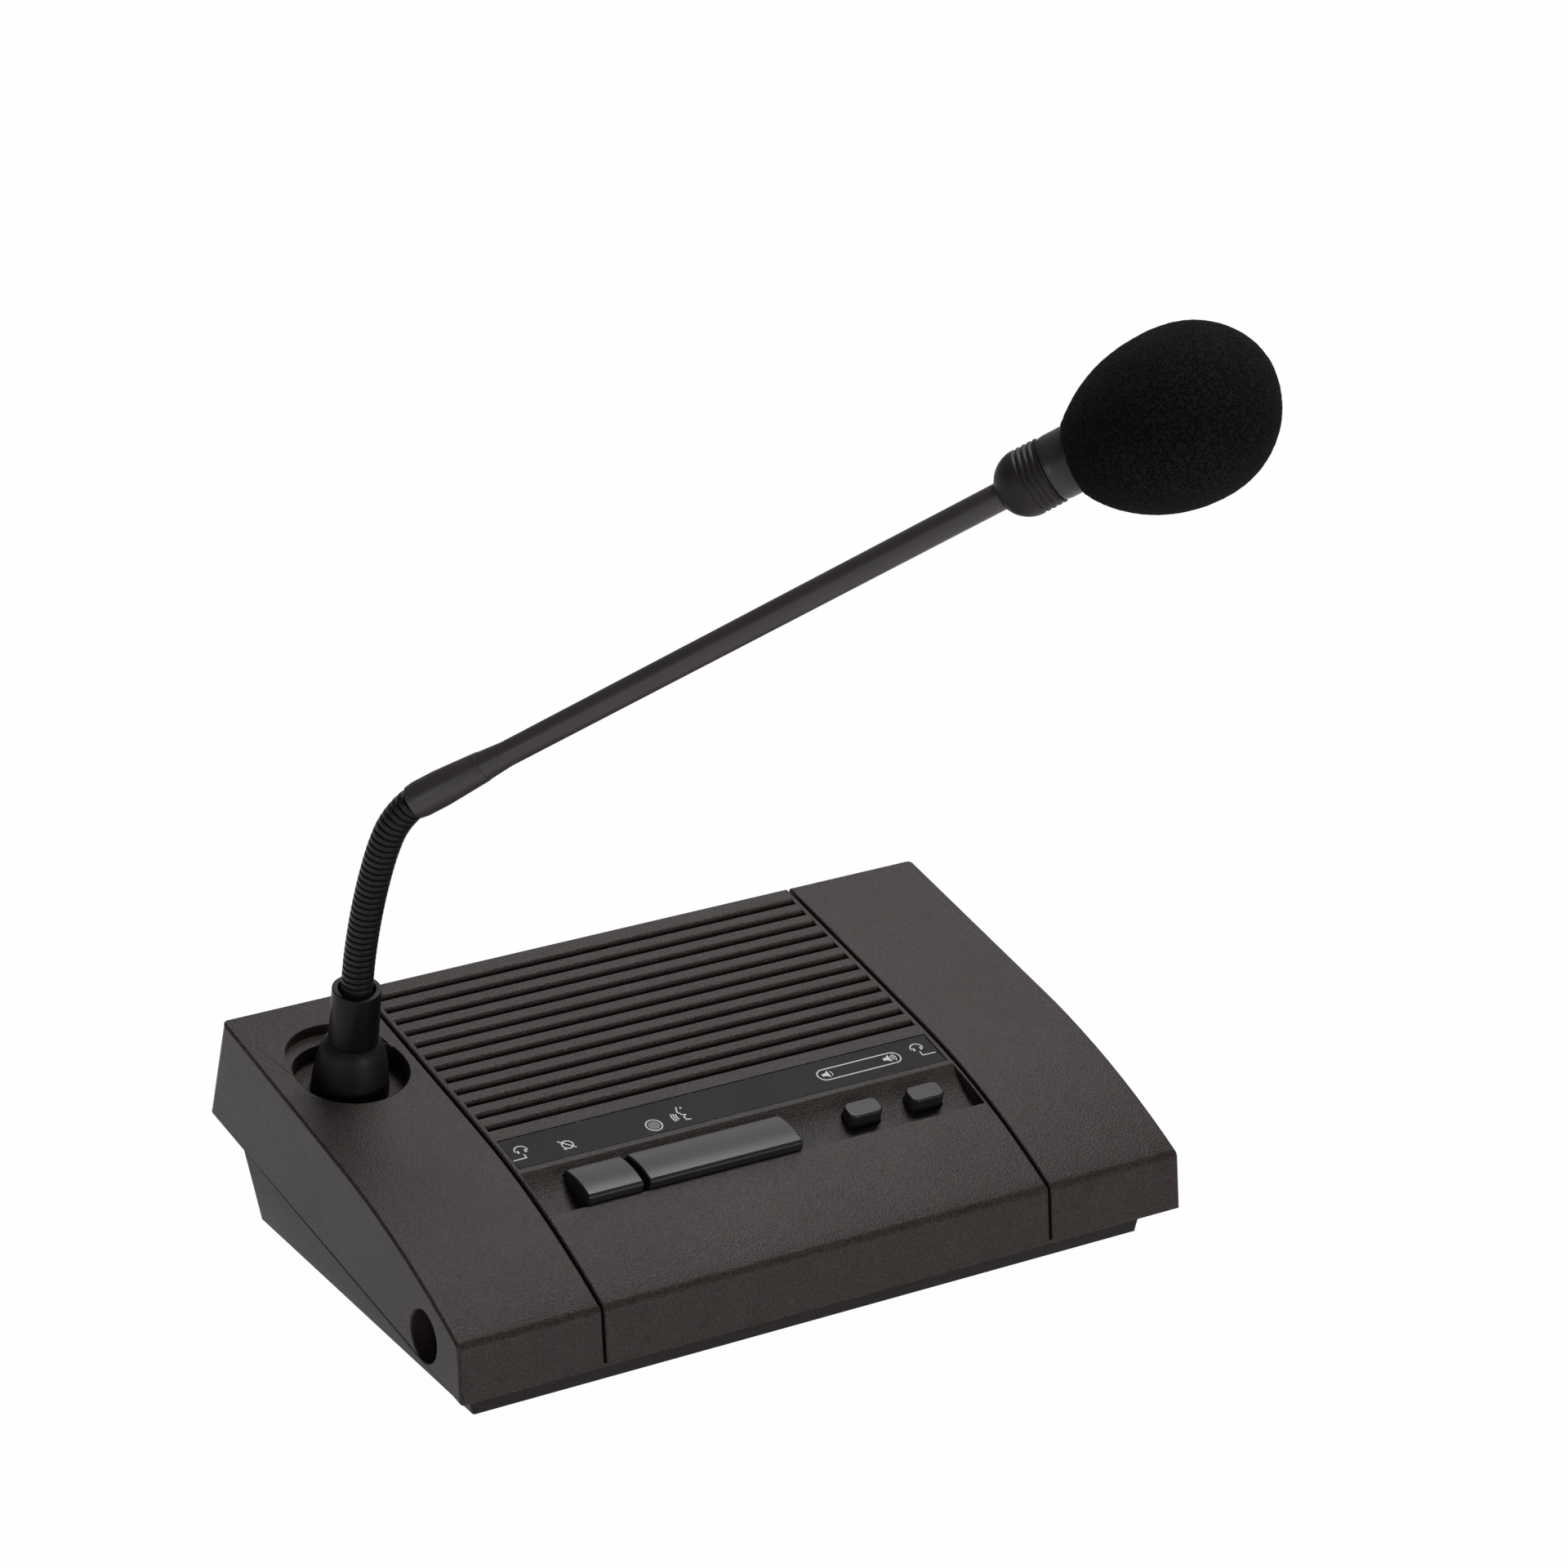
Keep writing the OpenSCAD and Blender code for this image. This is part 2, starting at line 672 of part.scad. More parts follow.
// The case's side outline, t inside its walls and lift above its lower edge
module case_outline(t, lift) {
    low = -case_d;
    high = rear_top_z + cover_wall;
    intersection() {
        polygon([
            [front_y(low, t), low], [rear_y(low, t), low], [rear_y(high, t), high], [front_y(high, t), high]
        ]);
        under_top(t);
        polygon([[-far, rim_z(-far) + lift], [far, rim_z(far) + lift], [far, far], [-far, far]]);
    }
}

// The space inside the case, t inside its walls and lift above its lower edge
module case_block(t, lift) {
    half = case_w / 2 - t;
    high = rear_top_z + cover_wall;
    top_half = half - side_draft * (high - front_rim_z) / (rear_top_z - front_rim_z);
    low_half = half + side_draft * (front_rim_z + case_d) / (rear_top_z - front_rim_z);
    intersection() {
        along_x(2 * far) case_outline(t, lift);
        translate([0, far, 0]) rotate([90, 0, 0]) linear_extrude(2 * far)
            polygon([[-low_half, -case_d], [low_half, -case_d], [top_half, high], [-top_half, high]]);
    }
}

// The zone that belongs to the centre panel, widened by a gap
module panel_zone(gap) {
    along_x(panel_w + 2 * gap) polygon([
        [-far, panel_lip_z - gap], [panel_inner_y, panel_lip_z - gap],
        [panel_inner_y, panel_rear_z - gap], [far, panel_rear_z - gap], [far, far], [-far, far]
    ]);
}

// The tub's outer shape, t inside its walls, from low up to a height over the cover's lower edge
module tub_block(t, low, over) {
    side = tub_w / 2 - t;
    function spread(z) = (z - foot_proud) * tan(tub_draft);
    high = rear_rim_z + over + past;
    intersection() {
        along_x(2 * far) intersection() {
            polygon([
                [tub_front_y + t - spread(low), low], [tub_rear_y - t + spread(low), low],
                [tub_rear_y - t + spread(high), high], [tub_front_y + t - spread(high), high]
            ]);
            polygon([[-far, rim_z(-far) + over], [far, rim_z(far) + over], [far, -far], [-far, -far]]);
        }
        translate([0, far, 0]) rotate([90, 0, 0]) linear_extrude(2 * far) polygon([
            [-side - spread(low), low], [side + spread(low), low],
            [side + spread(high), high], [-side - spread(high), high]
        ]);
    }
}

// A screw with a flat head at z = 0 and its shank upwards
module screw(r, head_r, head_t, l) {
    translate([0, 0, -head_t]) cylinder(r = head_r, h = head_t);
    cylinder(r = r, h = l);
}

// The four ears of the loudspeaker
module at_ears() {
    for (a = [45:90:315]) rotate(a) translate([speaker_screw_pcr, 0, 0]) children();
}

// A cylinder along X that starts at x and runs inwards on the given side
module side_cylinder(side, x, r, l) {
    translate([side * x, jack_y, jack_z]) rotate([0, -90 * side, 0]) cylinder(r = r, h = l);
}

// An L-shaped tab under a panel boss, hung from the cheek beside the panel
module panel_tab(side) {
    edge = panel_w / 2 + seam_gap - panel_boss_x;
    seat = cover_wall + panel_boss_l;
    rotate([90, 0, 0]) translate([0, 0, -tab_reach]) linear_extrude(2 * tab_reach)
        polygon([for (p = [
            [-tab_reach, -tab_low], [edge + cover_wall, -tab_low],
            [edge + cover_wall, -cover_wall / 2], [edge, -cover_wall / 2], [edge, -seat], [-tab_reach, -seat]
        ]) [side * p[0], p[1]]]);
}

module bottom_tub() {
    color("#3b3735") difference() {
        union() {
            difference() {
                tub_block(0, foot_proud, 0);
                tub_block(tub_wall, tub_floor_z, past);
            }
            for (s = screw_spots) intersection() {
                translate([s[0], s[1], foot_proud]) cylinder(r = case_post_r, h = s[2] - foot_proud);
                tub_block(tub_wall / 2, foot_proud, 0);
            }
        }
        for (s = screw_spots) translate([s[0], s[1], 0]) {
            cylinder(r = case_screw_r + 2 * screw_fit, h = far);
            cylinder(r = case_head_r + 2 * screw_fit, h = foot_proud + case_head_depth);
        }
        for (s = foot_spots) translate([s[0], s[1], 0])
            cylinder(r = foot_r + screw_fit, h = foot_proud + foot_seat);
        for (side = [-1, 1]) translate([
            side * link_pitch / 2 - link_w / 2 - link_gap, link_face_y - link_l, tub_floor_z
        ]) cube([link_w + 2 * link_gap, 2 * link_l, link_h + link_gap]);
    }
}

module top_cover() {
    color("#4a4644") difference() {
        union() {
            difference() {
                case_block(0, 0);
                case_block(cover_wall, rim_plate);
                panel_zone(seam_gap);
                tub_block(tub_wall, tub_floor_z, rim_plate + past);
            }
            intersection() {
                case_block(cover_wall / 2, 0);
                union() {
                    on_top(neck_x, neck_y) translate([0, 0, -well_low])
                        cylinder(r = well_r + well_wall / 2, h = well_low);
                    at_step() translate([0, 0, -well_wall])
                        cylinder(r = step_r + well_wall / 2, h = step_r);
                    for (side = [-1, 1])
                        side_cylinder(side, case_w / 2, recess_r + recess_wall, recess_d + recess_wall);
                }
            }
            for (s = screw_spots) intersection() {
                translate([s[0], s[1], s[2]]) cylinder(r = case_post_r, h = far);
                case_block(cover_wall / 2, -far);
            }
            for (s = panel_boss_spots) on_top(s[0], s[1]) panel_tab(sign(s[0]));
        }
        on_top(neck_x, neck_y) {
            translate([0, 0, -well_depth]) cylinder(r = well_r, h = well_r);
            translate([0, 0, -2 * well_low]) cylinder(r = bush_r + bush_fit, h = 2 * well_low);
        }
        at_step() cylinder(r = step_r, h = step_r);
        for (side = [-1, 1]) {
            side_cylinder(side, case_w / 2 + past, recess_r, recess_d + past);
            side_cylinder(side, case_w / 2, jack_neck_r + jack_fit, recess_d + recess_wall + past);
        }
        for (s = screw_spots) translate([s[0], s[1], 0])
            cylinder(r = case_screw_r + screw_fit, h = s[2] + case_screw_bite + past);
        for (s = panel_boss_spots) on_top(s[0], s[1]) translate([0, 0, -tab_low - past])
            cylinder(r = screw_r + 4 * screw_fit, h = tab_t + 2 * past);
    }
}

// One slot across the grille, with the bar behind it rounded
module grille_slot() {
    along_x(panel_w - 2 * slot_margin) {
        translate([-slot_w / 2, -cover_wall - past / 2]) square([slot_w, cover_wall + past]);
        difference() {
            translate([0, -bar_round]) square([slot_w / 2 + bar_round, bar_round + past / 2]);
            translate([slot_w / 2 + bar_round, -bar_round]) circle(r = bar_round);
        }
    }
}

// The scooped cut of the trough, drawn in Y and Z
module trough_scoop() {
    rear = [trough_d / 2, 0];
    front = [-trough_d / 2, -trough_drop];
    chord = front - rear;
    half = norm(chord) / 2;
    up = [chord[1], -chord[0]] / norm(chord);
    middle = (rear + front) / 2 + up * sqrt(pow(trough_r, 2) - pow(half, 2));
    intersection() {
        translate(middle) circle(r = trough_r, $fn = 128);
        translate([-trough_d / 2, -trough_under]) square([trough_d, 2 * trough_under]);
    }
}

// Side outline of the talk and mute keys, from their flange up to the crowned top
module key_outline() {
    front = [key_front, key_front_h];
    rear = [key_rear, key_rear_h];
    chord = rear - front;
    half = norm(chord) / 2;
    down = [chord[1], -chord[0]] / norm(chord);
    middle = (front + rear) / 2 + down * sqrt(pow(key_crown_r, 2) - pow(half, 2));
    intersection() {
        translate(middle) circle(r = key_crown_r, $fn = 128);
        translate([key_front, -key_base]) square([key_d, key_base + key_crown_r]);
    }
}

// Rounded outline of a volume key, grown by a gap
module volume_outline(grow) {
    round_x = volume_w / 2 - volume_round;
    round_y = volume_d / 2 - volume_round;
    square([2 * round_x, volume_d + 2 * grow], center = true);
    square([volume_w + 2 * grow, 2 * round_y], center = true);
    for (sx = [-1, 1]) for (sy = [-1, 1]) translate([sx * round_x, sy * round_y])
        circle(r = volume_round + grow);
}

module centre_panel() {
    color("#4a4644") difference() {
        union() {
            intersection() {
                panel_zone(0);
                difference() {
                    case_block(0, 0);
                    case_block(cover_wall, -far);
                }
            }
            on_top(0, trough_y) translate([-panel_w / 2, -trough_d / 2 - cover_wall, -trough_under])
                cube([panel_w, trough_d + 2 * cover_wall, trough_under - cover_wall / 3]);
            for (s = panel_boss_spots) on_top(s[0], s[1]) translate([0, 0, -cover_wall - panel_boss_l])
                cylinder(r = boss_r, h = panel_boss_l + cover_wall / 2);
            on_top(0, trough_y) for (s = board_screw_spots) translate([s[0], s[1], -board_depth])
                cylinder(r = boss_r, h = board_depth - 1.5 * cover_wall / 2);
            on_top(0, speaker_y) at_ears() translate([0, 0, -gasket_low])
                cylinder(r = boss_r, h = gasket_low - cover_wall / 2);
        }
        for (i = [0:slot_count - 1]) on_top(0, slot_first_y - i * slot_pitch) grille_slot();
        on_top(0, strip_y) translate([0, 0, -strip_bed]) linear_extrude(strip_bed + past)
            square([panel_w - 2 * strip_margin, strip_d] + 2 * [strip_gap, strip_gap], center = true);
        on_top(0, trough_y) {
            along_x(panel_w - 2 * trough_end) trough_scoop();
            for (k = [[talk_x, talk_w], [mute_x, mute_w]])
                translate([k[0] - k[1] / 2 - key_gap, key_front - key_gap, -2 * trough_under])
                    cube([k[1] + 2 * key_gap, key_d + 2 * key_gap, 2 * trough_under]);
            for (x = [volume_down_x, volume_up_x]) translate([x, 0, -2 * trough_under])
                linear_extrude(2 * trough_under) volume_outline(key_gap);
            translate([lens_x, lens_v, -board_depth]) cylinder(r = lens_r + lens_fit, h = board_depth + past);
            for (s = board_screw_spots) translate([s[0], s[1], -board_depth - past])
                cylinder(r = screw_r + screw_fit, h = past + screw_bite + past);
        }
        for (s = panel_boss_spots) on_top(s[0], s[1]) translate([0, 0, -cover_wall - panel_boss_l - past])
            cylinder(r = screw_r + screw_fit, h = past + screw_bite + past);
        on_top(0, speaker_y) at_ears() translate([0, 0, -gasket_low - past])
            cylinder(r = screw_r + screw_fit, h = past + gasket_low - cover_wall / 2);
    }
}

module grille_cloth() {
    rear = (panel_inner_y - past - speaker_y) / cos(top_slope);
    front = (cloth_front_y - speaker_y) / cos(top_slope);
    width = panel_w - 2 * slot_margin + 2 * cloth_lap;
    color("#151515") on_top(0, speaker_y) difference() {
        translate([-width / 2, front, -cloth_low]) cube([width, rear - front, cloth_t]);
        at_ears() translate([0, 0, -2 * cloth_low]) cylinder(r = boss_r + lens_fit, h = 2 * cloth_low);
    }
}

module label_strip() {
    color("#33343a") difference() {
        on_top(0, strip_y) translate([0, 0, -strip_bed]) linear_extrude(strip_t)
            square([panel_w - 2 * strip_margin, strip_d], center = true);
        on_top(0, trough_y) translate([lens_x, lens_v, -trough_under])
            cylinder(r = lens_r + lens_fit, h = 2 * trough_under);
    }
}

module status_lens() {
    color("#8a8d92") on_top(0, trough_y) translate([lens_x, lens_v, led_h + key_gap - board_depth])
        cylinder(r = lens_r, h = board_depth - lens_drop - led_h - key_gap);
}

module status_led() {
    color("#d8d8d0") on_top(0, trough_y) translate([lens_x, lens_v, -board_depth]) {
        translate([-led_base_w / 2, -led_base_d / 2, 0]) cube([led_base_w, led_base_d, led_base_t]);
        cylinder(r = led_r, h = led_h);
    }
}

module main_board() {
    color("#1d4a33") on_top(0, trough_y) difference() {
        translate([-board_w / 2, board_front, -board_depth - board_t]) cube([board_w, board_d, board_t]);
        for (s = board_screw_spots) translate([s[0], s[1], -board_depth - 2 * board_t])
            cylinder(r = screw_r + 4 * screw_fit, h = 3 * board_t);
    }
}

// Chips, capacitors and headers under the board
module board_components() {
    color("#222222") on_top(0, trough_y) translate([0, 0, -board_depth - board_t]) {
        translate([talk_x - chip_w / 2, part_v, -chip_h / 2]) cube([chip_w, chip_w, chip_h], center = true);
        translate([talk_x + chip_w, part_v, -chip_h / 2]) cube([chip_w / 2, chip_w, chip_h], center = true);
        for (x = [mic_header_x, speaker_header_x]) translate([x, part_v, -header_h / 2])
            cube([header_w, header_w, header_h], center = true);
        for (x = [volume_down_x, volume_x, volume_up_x]) translate([x, part_v, -header_h])
            cylinder(r = header_w / 2, h = header_h);
    }
}

// A wire through a list of points
module wire(points) {
    for (i = [1:len(points) - 1]) {
        run = points[i] - points[i - 1];
        turn = [0, acos(run[2] / norm(run)), atan2(run[1], run[0])];
        translate(points[i - 1]) rotate(turn) cylinder(r = lead_r, h = norm(run));
        if (i < len(points) - 1) translate(points[i]) sphere(r = 1.1 * lead_r);
    }
}

module mic_lead() {
    header = top_point(mic_header_x, trough_y, part_v, -board_depth - board_t - header_h - lead_gap);
    bush = top_point(neck_x, neck_y, 0, -bush_low);
    color("#6b6b6e") wire([
        top_point(neck_x, neck_y, 0, -well_low), bush - [0, 0, lead_drop], header - [0, 0, lead_drop], header
    ]);
}

module speaker_lead() {
    header = top_point(speaker_header_x, trough_y, part_v, -board_depth - board_t - header_h - lead_gap);
    terminal = top_point(speaker_header_x, speaker_y, -speaker_lead_v, -rim_low - lead_gap);
    color("#7a2f2a") wire([terminal, terminal - [0, 0, lead_drop], header - [0, 0, lead_drop], header]);
}

module board_screws() {
    color("#b8bbc0") on_top(0, trough_y) for (s = board_screw_spots)
        translate([s[0], s[1], -board_depth - board_t])
            screw(screw_r, 2 * screw_r, screw_head_t, board_t + screw_bite);
}

module switch_housings() {
    color("#2a2a2a") on_top(0, trough_y) for (k = [
        [talk_x, key_v], [mute_x, key_v], [volume_down_x, 0], [volume_up_x, 0]
    ]) translate([k[0], k[1], -board_depth]) difference() {
        translate([-switch_w / 2, -switch_w / 2, 0]) cube([switch_w, switch_w, switch_h]);
        translate([0, 0, switch_h - plunger_in - key_travel - 0.4])
            cylinder(r = plunger_r + plunger_fit, h = switch_h);
    }
}

// A plunger between its key and its switch
module switch_plunger(x, v) {
    color("#e8e6e0") on_top(0, trough_y) translate([x, v, -switch_top - plunger_in])
        cylinder(r = plunger_r, h = plunger_in + plunger_out);
}

// The part of a key under the trough: its retaining flange and its post
module key_root(x, v, w, d) {
    translate([x - w / 2, v - d / 2 - key_flange_out, -key_flange_low])
        cube([w, d + 2 * key_flange_out, key_flange_t]);
    translate([x, v, -plunger_top])
        cylinder(r = plunger_r, h = plunger_top - key_flange_low + key_flange_t / 2);
}

// A wide key with a crowned top
module crowned_button(x, w) {
    color("#5a5b5d") on_top(0, trough_y) {
        translate([x, 0, 0]) along_x(w) key_outline();
        key_root(x, key_v, w, key_d);
    }
}

module talk_button() {
    crowned_button(talk_x, talk_w);
}

module mute_button() {
    crowned_button(mute_x, mute_w);
}

// A small key with round corners
module volume_button(x) {
    color("#5a5b5d") on_top(0, trough_y) {
        translate([x, 0, -key_base]) linear_extrude(key_base + volume_h) volume_outline(0);
        key_root(x, 0, volume_w, volume_d);
    }
}

module panel_screws() {
    color("#b8bbc0") for (s = panel_boss_spots) on_top(s[0], s[1]) translate([0, 0, -tab_low])
        screw(screw_r, 2 * screw_r, screw_head_t, tab_t + screw_bite);
}

module case_screws() {
    seat = foot_proud + case_head_depth;
    color("#2c2c2e") for (s = screw_spots) translate([s[0], s[1], seat]) difference() {
        screw(case_screw_r, case_head_r, case_head_depth / 2, s[2] + case_screw_bite - seat);
        for (a = [0, 90]) rotate(a) translate([0, 0, -case_head_depth / 2])
            cube([1.2 * case_head_r, case_head_depth / 3, case_head_depth / 2], center = true);
    }
}

module rubber_feet() {
    color("#161616") for (s = foot_spots) translate([s[0], s[1], 0])
        cylinder(r = foot_r, h = foot_proud + foot_seat);
}

module speaker_gasket() {
    color("#202020") on_top(0, speaker_y) translate([0, 0, -gasket_low]) difference() {
        cylinder(r = speaker_r - 0.5, h = gasket_t);
        translate([0, 0, -past]) cylinder(r = speaker_r - speaker_rim, h = gasket_t + 2 * past);
    }
}

module speaker_basket() {
    color("#3a3a3c") on_top(0, speaker_y) difference() {
        union() {
            rotate_extrude() polygon([
                [speaker_r - speaker_rim, -gasket_low], [speaker_r, -gasket_low], [speaker_r, -rim_low],
                [speaker_r - speaker_rim / 2, -rim_low], [basket_back_r + basket_t, -basket_low],
                [coil_r + 2, -basket_low], [coil_r + 2, basket_t - basket_low],
                [basket_back_r, basket_t - basket_low], [speaker_r - speaker_rim, -rim_low]
            ]);
            at_ears() translate([0, 0, -rim_low]) cylinder(r = ear_r, h = speaker_rim_t);
        }
        at_ears() translate([0, 0, -rim_low - past])
            cylinder(r = screw_r + 4 * screw_fit, h = speaker_rim_t + 2 * past);
        for (a = [0:90:270]) rotate(a - basket_window / 2) rotate_extrude(angle = basket_window)
            translate([basket_back_r + 2 * basket_t, -basket_low - past])
                square([speaker_r - speaker_rim - basket_back_r - 4 * basket_t, basket_d + past]);
    }
}

module speaker_cone() {
    rim_r = speaker_r - speaker_rim - screw_fit;
    deep = basket_low - 3 * cone_t;
    fold_low = gasket_low + speaker_rim_t / 2;
    color("#26241f") on_top(0, speaker_y) rotate_extrude() {
        polygon([
            [0, -deep], [coil_r, -deep], [rim_r - cone_fold, -fold_low], [rim_r, -fold_low],
            [rim_r, -gasket_low], [rim_r - cone_fold, -gasket_low], [coil_r - coil_t / 2, cone_t - deep],
            [0, cone_t - deep]
        ]);
        translate([coil_r - coil_t, coil_t / 5 - basket_low]) square([coil_t, basket_low - deep]);
    }
}

module speaker_magnet() {
    color("#55565a") on_top(0, speaker_y) translate([0, 0, -basket_low - magnet_l]) difference() {
        cylinder(r = magnet_r, h = magnet_l);
        translate([0, 0, 2 * coil_t]) difference() {
            cylinder(r = coil_r + coil_t, h = magnet_l);
            cylinder(r = coil_r - 2 * coil_t, h = magnet_l);
        }
    }
}

module speaker_screws() {
    color("#b8bbc0") on_top(0, speaker_y) at_ears() translate([0, 0, -rim_low])
        screw(screw_r, 2 * screw_r, screw_head_t, speaker_rim_t + gasket_t);
}

// A headphone socket behind the recess of one side
module headphone_jack(side) {
    color("#1c1c1e") difference() {
        union() {
            side_cylinder(side, jack_face_x, jack_neck_r, jack_face_x - jack_seat_x + past);
            translate([side * (jack_seat_x - jack_body_l / 2), jack_y, jack_z])
                cube([jack_body_l, jack_body_w, jack_body_w], center = true);
        }
        side_cylinder(side, jack_face_x + past, plug_r, plug_depth + past);
    }
}

module ring_nut(side) {
    color("#a9abb0") difference() {
        side_cylinder(side, recess_x + jack_nut_t, jack_nut_r, jack_nut_t);
        side_cylinder(side, recess_x + jack_nut_t + past, jack_neck_r + screw_fit, jack_nut_t + 2 * past);
    }
}

// A link socket with a stepped mouth for a latched plug
module link_socket(side) {
    color("#29292b") translate([side * link_pitch / 2, link_face_y - link_l, tub_floor_z]) difference() {
        translate([-link_w / 2, 0, 0]) cube([link_w, link_l, link_h]);
        translate([-link_mouth_w / 2, link_l - link_mouth_d, link_mouth_z])
            cube([link_mouth_w, link_mouth_d + past, link_mouth_h]);
        translate([-link_mouth_w / 4, link_l - link_mouth_d, link_mouth_z])
            cube([link_mouth_w / 2, link_mouth_d + past, link_mouth_h + 1.6]);
    }
}

module neck_bush() {
    color("#8f9196") neck_plane() rotate_extrude() polygon([
        [neck_bore, -bush_low], [bush_r, -bush_low], [bush_r, -well_depth], [bush_flange_r, -well_depth],
        [bush_flange_r, bush_flange_t - well_depth], [spigot_r, bush_flange_t - well_depth],
        [spigot_r, spigot_top], [neck_bore, spigot_top]
    ]);
}

module neck_washer() {
    color("#b8bbc0") neck_plane() translate([0, 0, -well_low - washer_t]) difference() {
        cylinder(r = nut_corners / 2, h = washer_t);
        translate([0, 0, -past]) cylinder(r = bush_r + bush_fit, h = washer_t + 2 * past);
    }
}

module neck_nut() {
    color("#9c9ea3") neck_plane() translate([0, 0, -nut_low]) difference() {
        cylinder(r = nut_corners / 2, h = nut_t, $fn = 6);
        translate([0, 0, -past]) cylinder(r = bush_r + screw_fit, h = nut_t + 2 * past);
    }
}

module bell_boot() {
    bulge = 10;
    height = bell_top + well_depth;
    inner = bush_flange_r + spigot_fit;
    inner_low = bush_flange_t - well_depth + spigot_fit;
    color("#121212") neck_plane() rotate_extrude() polygon(concat(
        [for (i = [0:bulge]) [
            bell_top_r + (bell_r - bell_top_r) * sqrt(1 - pow(i / bulge, 2)),
            height * pow(i / bulge, 1.4) - well_depth
        ]],
        [
            [spigot_r + spigot_fit, bell_top], [spigot_r + spigot_fit, inner_low],
            [inner, inner_low], [inner, -well_depth]
        ]
    ));
}

module neck_collar() {
    color("#1a1a1a") neck_plane() rotate_extrude() polygon([
        [spigot_r + spigot_fit, bell_top], [collar_r, bell_top], [collar_top_r, collar_top - 0.4],
        [collar_top_r - 0.4, collar_top], [collar_top_r - collar_lip, collar_top],
        [collar_top_r - collar_lip, collar_top - collar_cup], [spigot_r + spigot_fit, collar_top - collar_cup]
    ]);
}

// Half outline of a ribbed body from z = 0, with a ball on its top
module ribbed_outline(body_l, ribs_from, pitch) {
    difference() {
        square([neck_r, body_l]);
        for (z = [ribs_from : pitch : body_l - groove_w])
            translate([neck_r - groove_d, z - groove_w / 2]) square([neck_r, groove_w]);
    }
    intersection() {
        translate([0, body_l + rim_gap]) circle(r = ball_r);
        translate([0, body_l - past]) square([ball_r, past + rim_gap + ball_cap]);
    }
}

module neck_base() {
    foot = spigot_top;
    body_l = collar_top + neck_first - rim_gap - foot;
    color("#2b2a29") neck_plane() translate([0, 0, foot]) rotate_extrude() difference() {
        ribbed_outline(body_l, collar_top - foot - collar_cup / 2, rib_pitch);
        square([neck_bore, far]);
    }
}

module neck_link(i) {
    body_l = neck_step - rim_gap;
    color("#2b2a29") at_joint(i, link_lean(i)) rotate_extrude() difference() {
        ribbed_outline(body_l, rib_pitch, rib_pitch);
        circle(r = ball_r + ball_gap);
        square([neck_bore, far]);
    }
}

module coupling_sleeve() {
    color("#262524") at_head() rotate_extrude() difference() {
        polygon([
            [0, 0], [neck_r, 0], [neck_r, past], [sleeve_r - 0.1, past + 0.2], [sleeve_r, sleeve_straight],
            [sleeve_end_r, sleeve_l], [stem_spigot_r, sleeve_l],
            [stem_spigot_r, sleeve_l + stem_spigot_l], [0, sleeve_l + stem_spigot_l]
        ]);
        circle(r = ball_r + ball_gap);
        square([neck_bore, far]);
    }
}

module stem_tube() {
    inner = stem_spigot_r + stem_fit;
    seat = sleeve_l + stem_spigot_l + stem_fit;
    color("#262524") at_head() rotate_extrude() polygon([
        [inner, sleeve_l], [sleeve_end_r, sleeve_l], [stem_r, sleeve_l + stem_flare], [stem_top_r, stem_top],
        [stem_top_r, stem_top + stem_in], [neck_bore, stem_top + stem_in], [neck_bore, seat], [inner, seat]
    ]);
}

module bellows_boot() {
    start_r = stem_top_r + 0.6;
    low_r = bellows_r - bellows_groove;
    pitch = (bellows_l - bellows_start) / bellows_ribs;
    function rib_z(i) = stem_top + bellows_start + i * pitch;
    color("#171717") at_head() rotate_extrude() polygon(concat(
        [[stem_top_r + bellows_fit, stem_top], [start_r, stem_top]],
        [for (i = [1:5]) [
            start_r + (bellows_r - start_r) * sin(18 * i), stem_top + bellows_start * (0.1 + 0.18 * i) * i / 5
        ]],
        [for (i = [0:bellows_ribs - 1]) each [
            [bellows_r, rib_z(i + 0.35)], [low_r, rib_z(i + 0.6)],
            [low_r, rib_z(i + 0.75)], [bellows_r, rib_z(i + 1)]
        ]],
        [
            [housing_neck_r + bellows_fit, bellows_top],
            [housing_neck_r + bellows_fit, housing_back - bellows_fit],
            [stem_top_r + bellows_fit, housing_back - bellows_fit]
        ]
    ));
}

module capsule_housing() {
    color("#2a2a2a") at_head() rotate_extrude() polygon([
        [stem_top_r + stem_fit, housing_back], [housing_neck_r, housing_back], [housing_neck_r, bellows_top],
        [housing_r - 0.6, bellows_top], [housing_r, bellows_top + 2], [housing_r, housing_front],
        [housing_r - housing_wall, housing_front], [housing_r - housing_wall, capsule_back],
        [housing_r - 2 * housing_wall, capsule_back], [housing_r - 2 * housing_wall, bellows_top],
        [stem_top_r + stem_fit, bellows_top]
    ]);
}

module capsule() {
    color("#b0a58a") at_head() translate([0, 0, capsule_back]) cylinder(r = capsule_r, h = capsule_l);
}

module capsule_guard() {
    color("#8f9196") at_head() translate([0, 0, housing_front - guard_l]) difference() {
        cylinder(r = capsule_r, h = guard_l);
        translate([0, 0, -past]) cylinder(r = capsule_r - guard_wall, h = guard_l - guard_wall + past);
        cylinder(r = guard_wall, h = 2 * guard_l);
        for (a = [0:60:300]) rotate(a) translate([capsule_r / 2, 0, 0])
            cylinder(r = guard_wall, h = 2 * guard_l);
    }
}

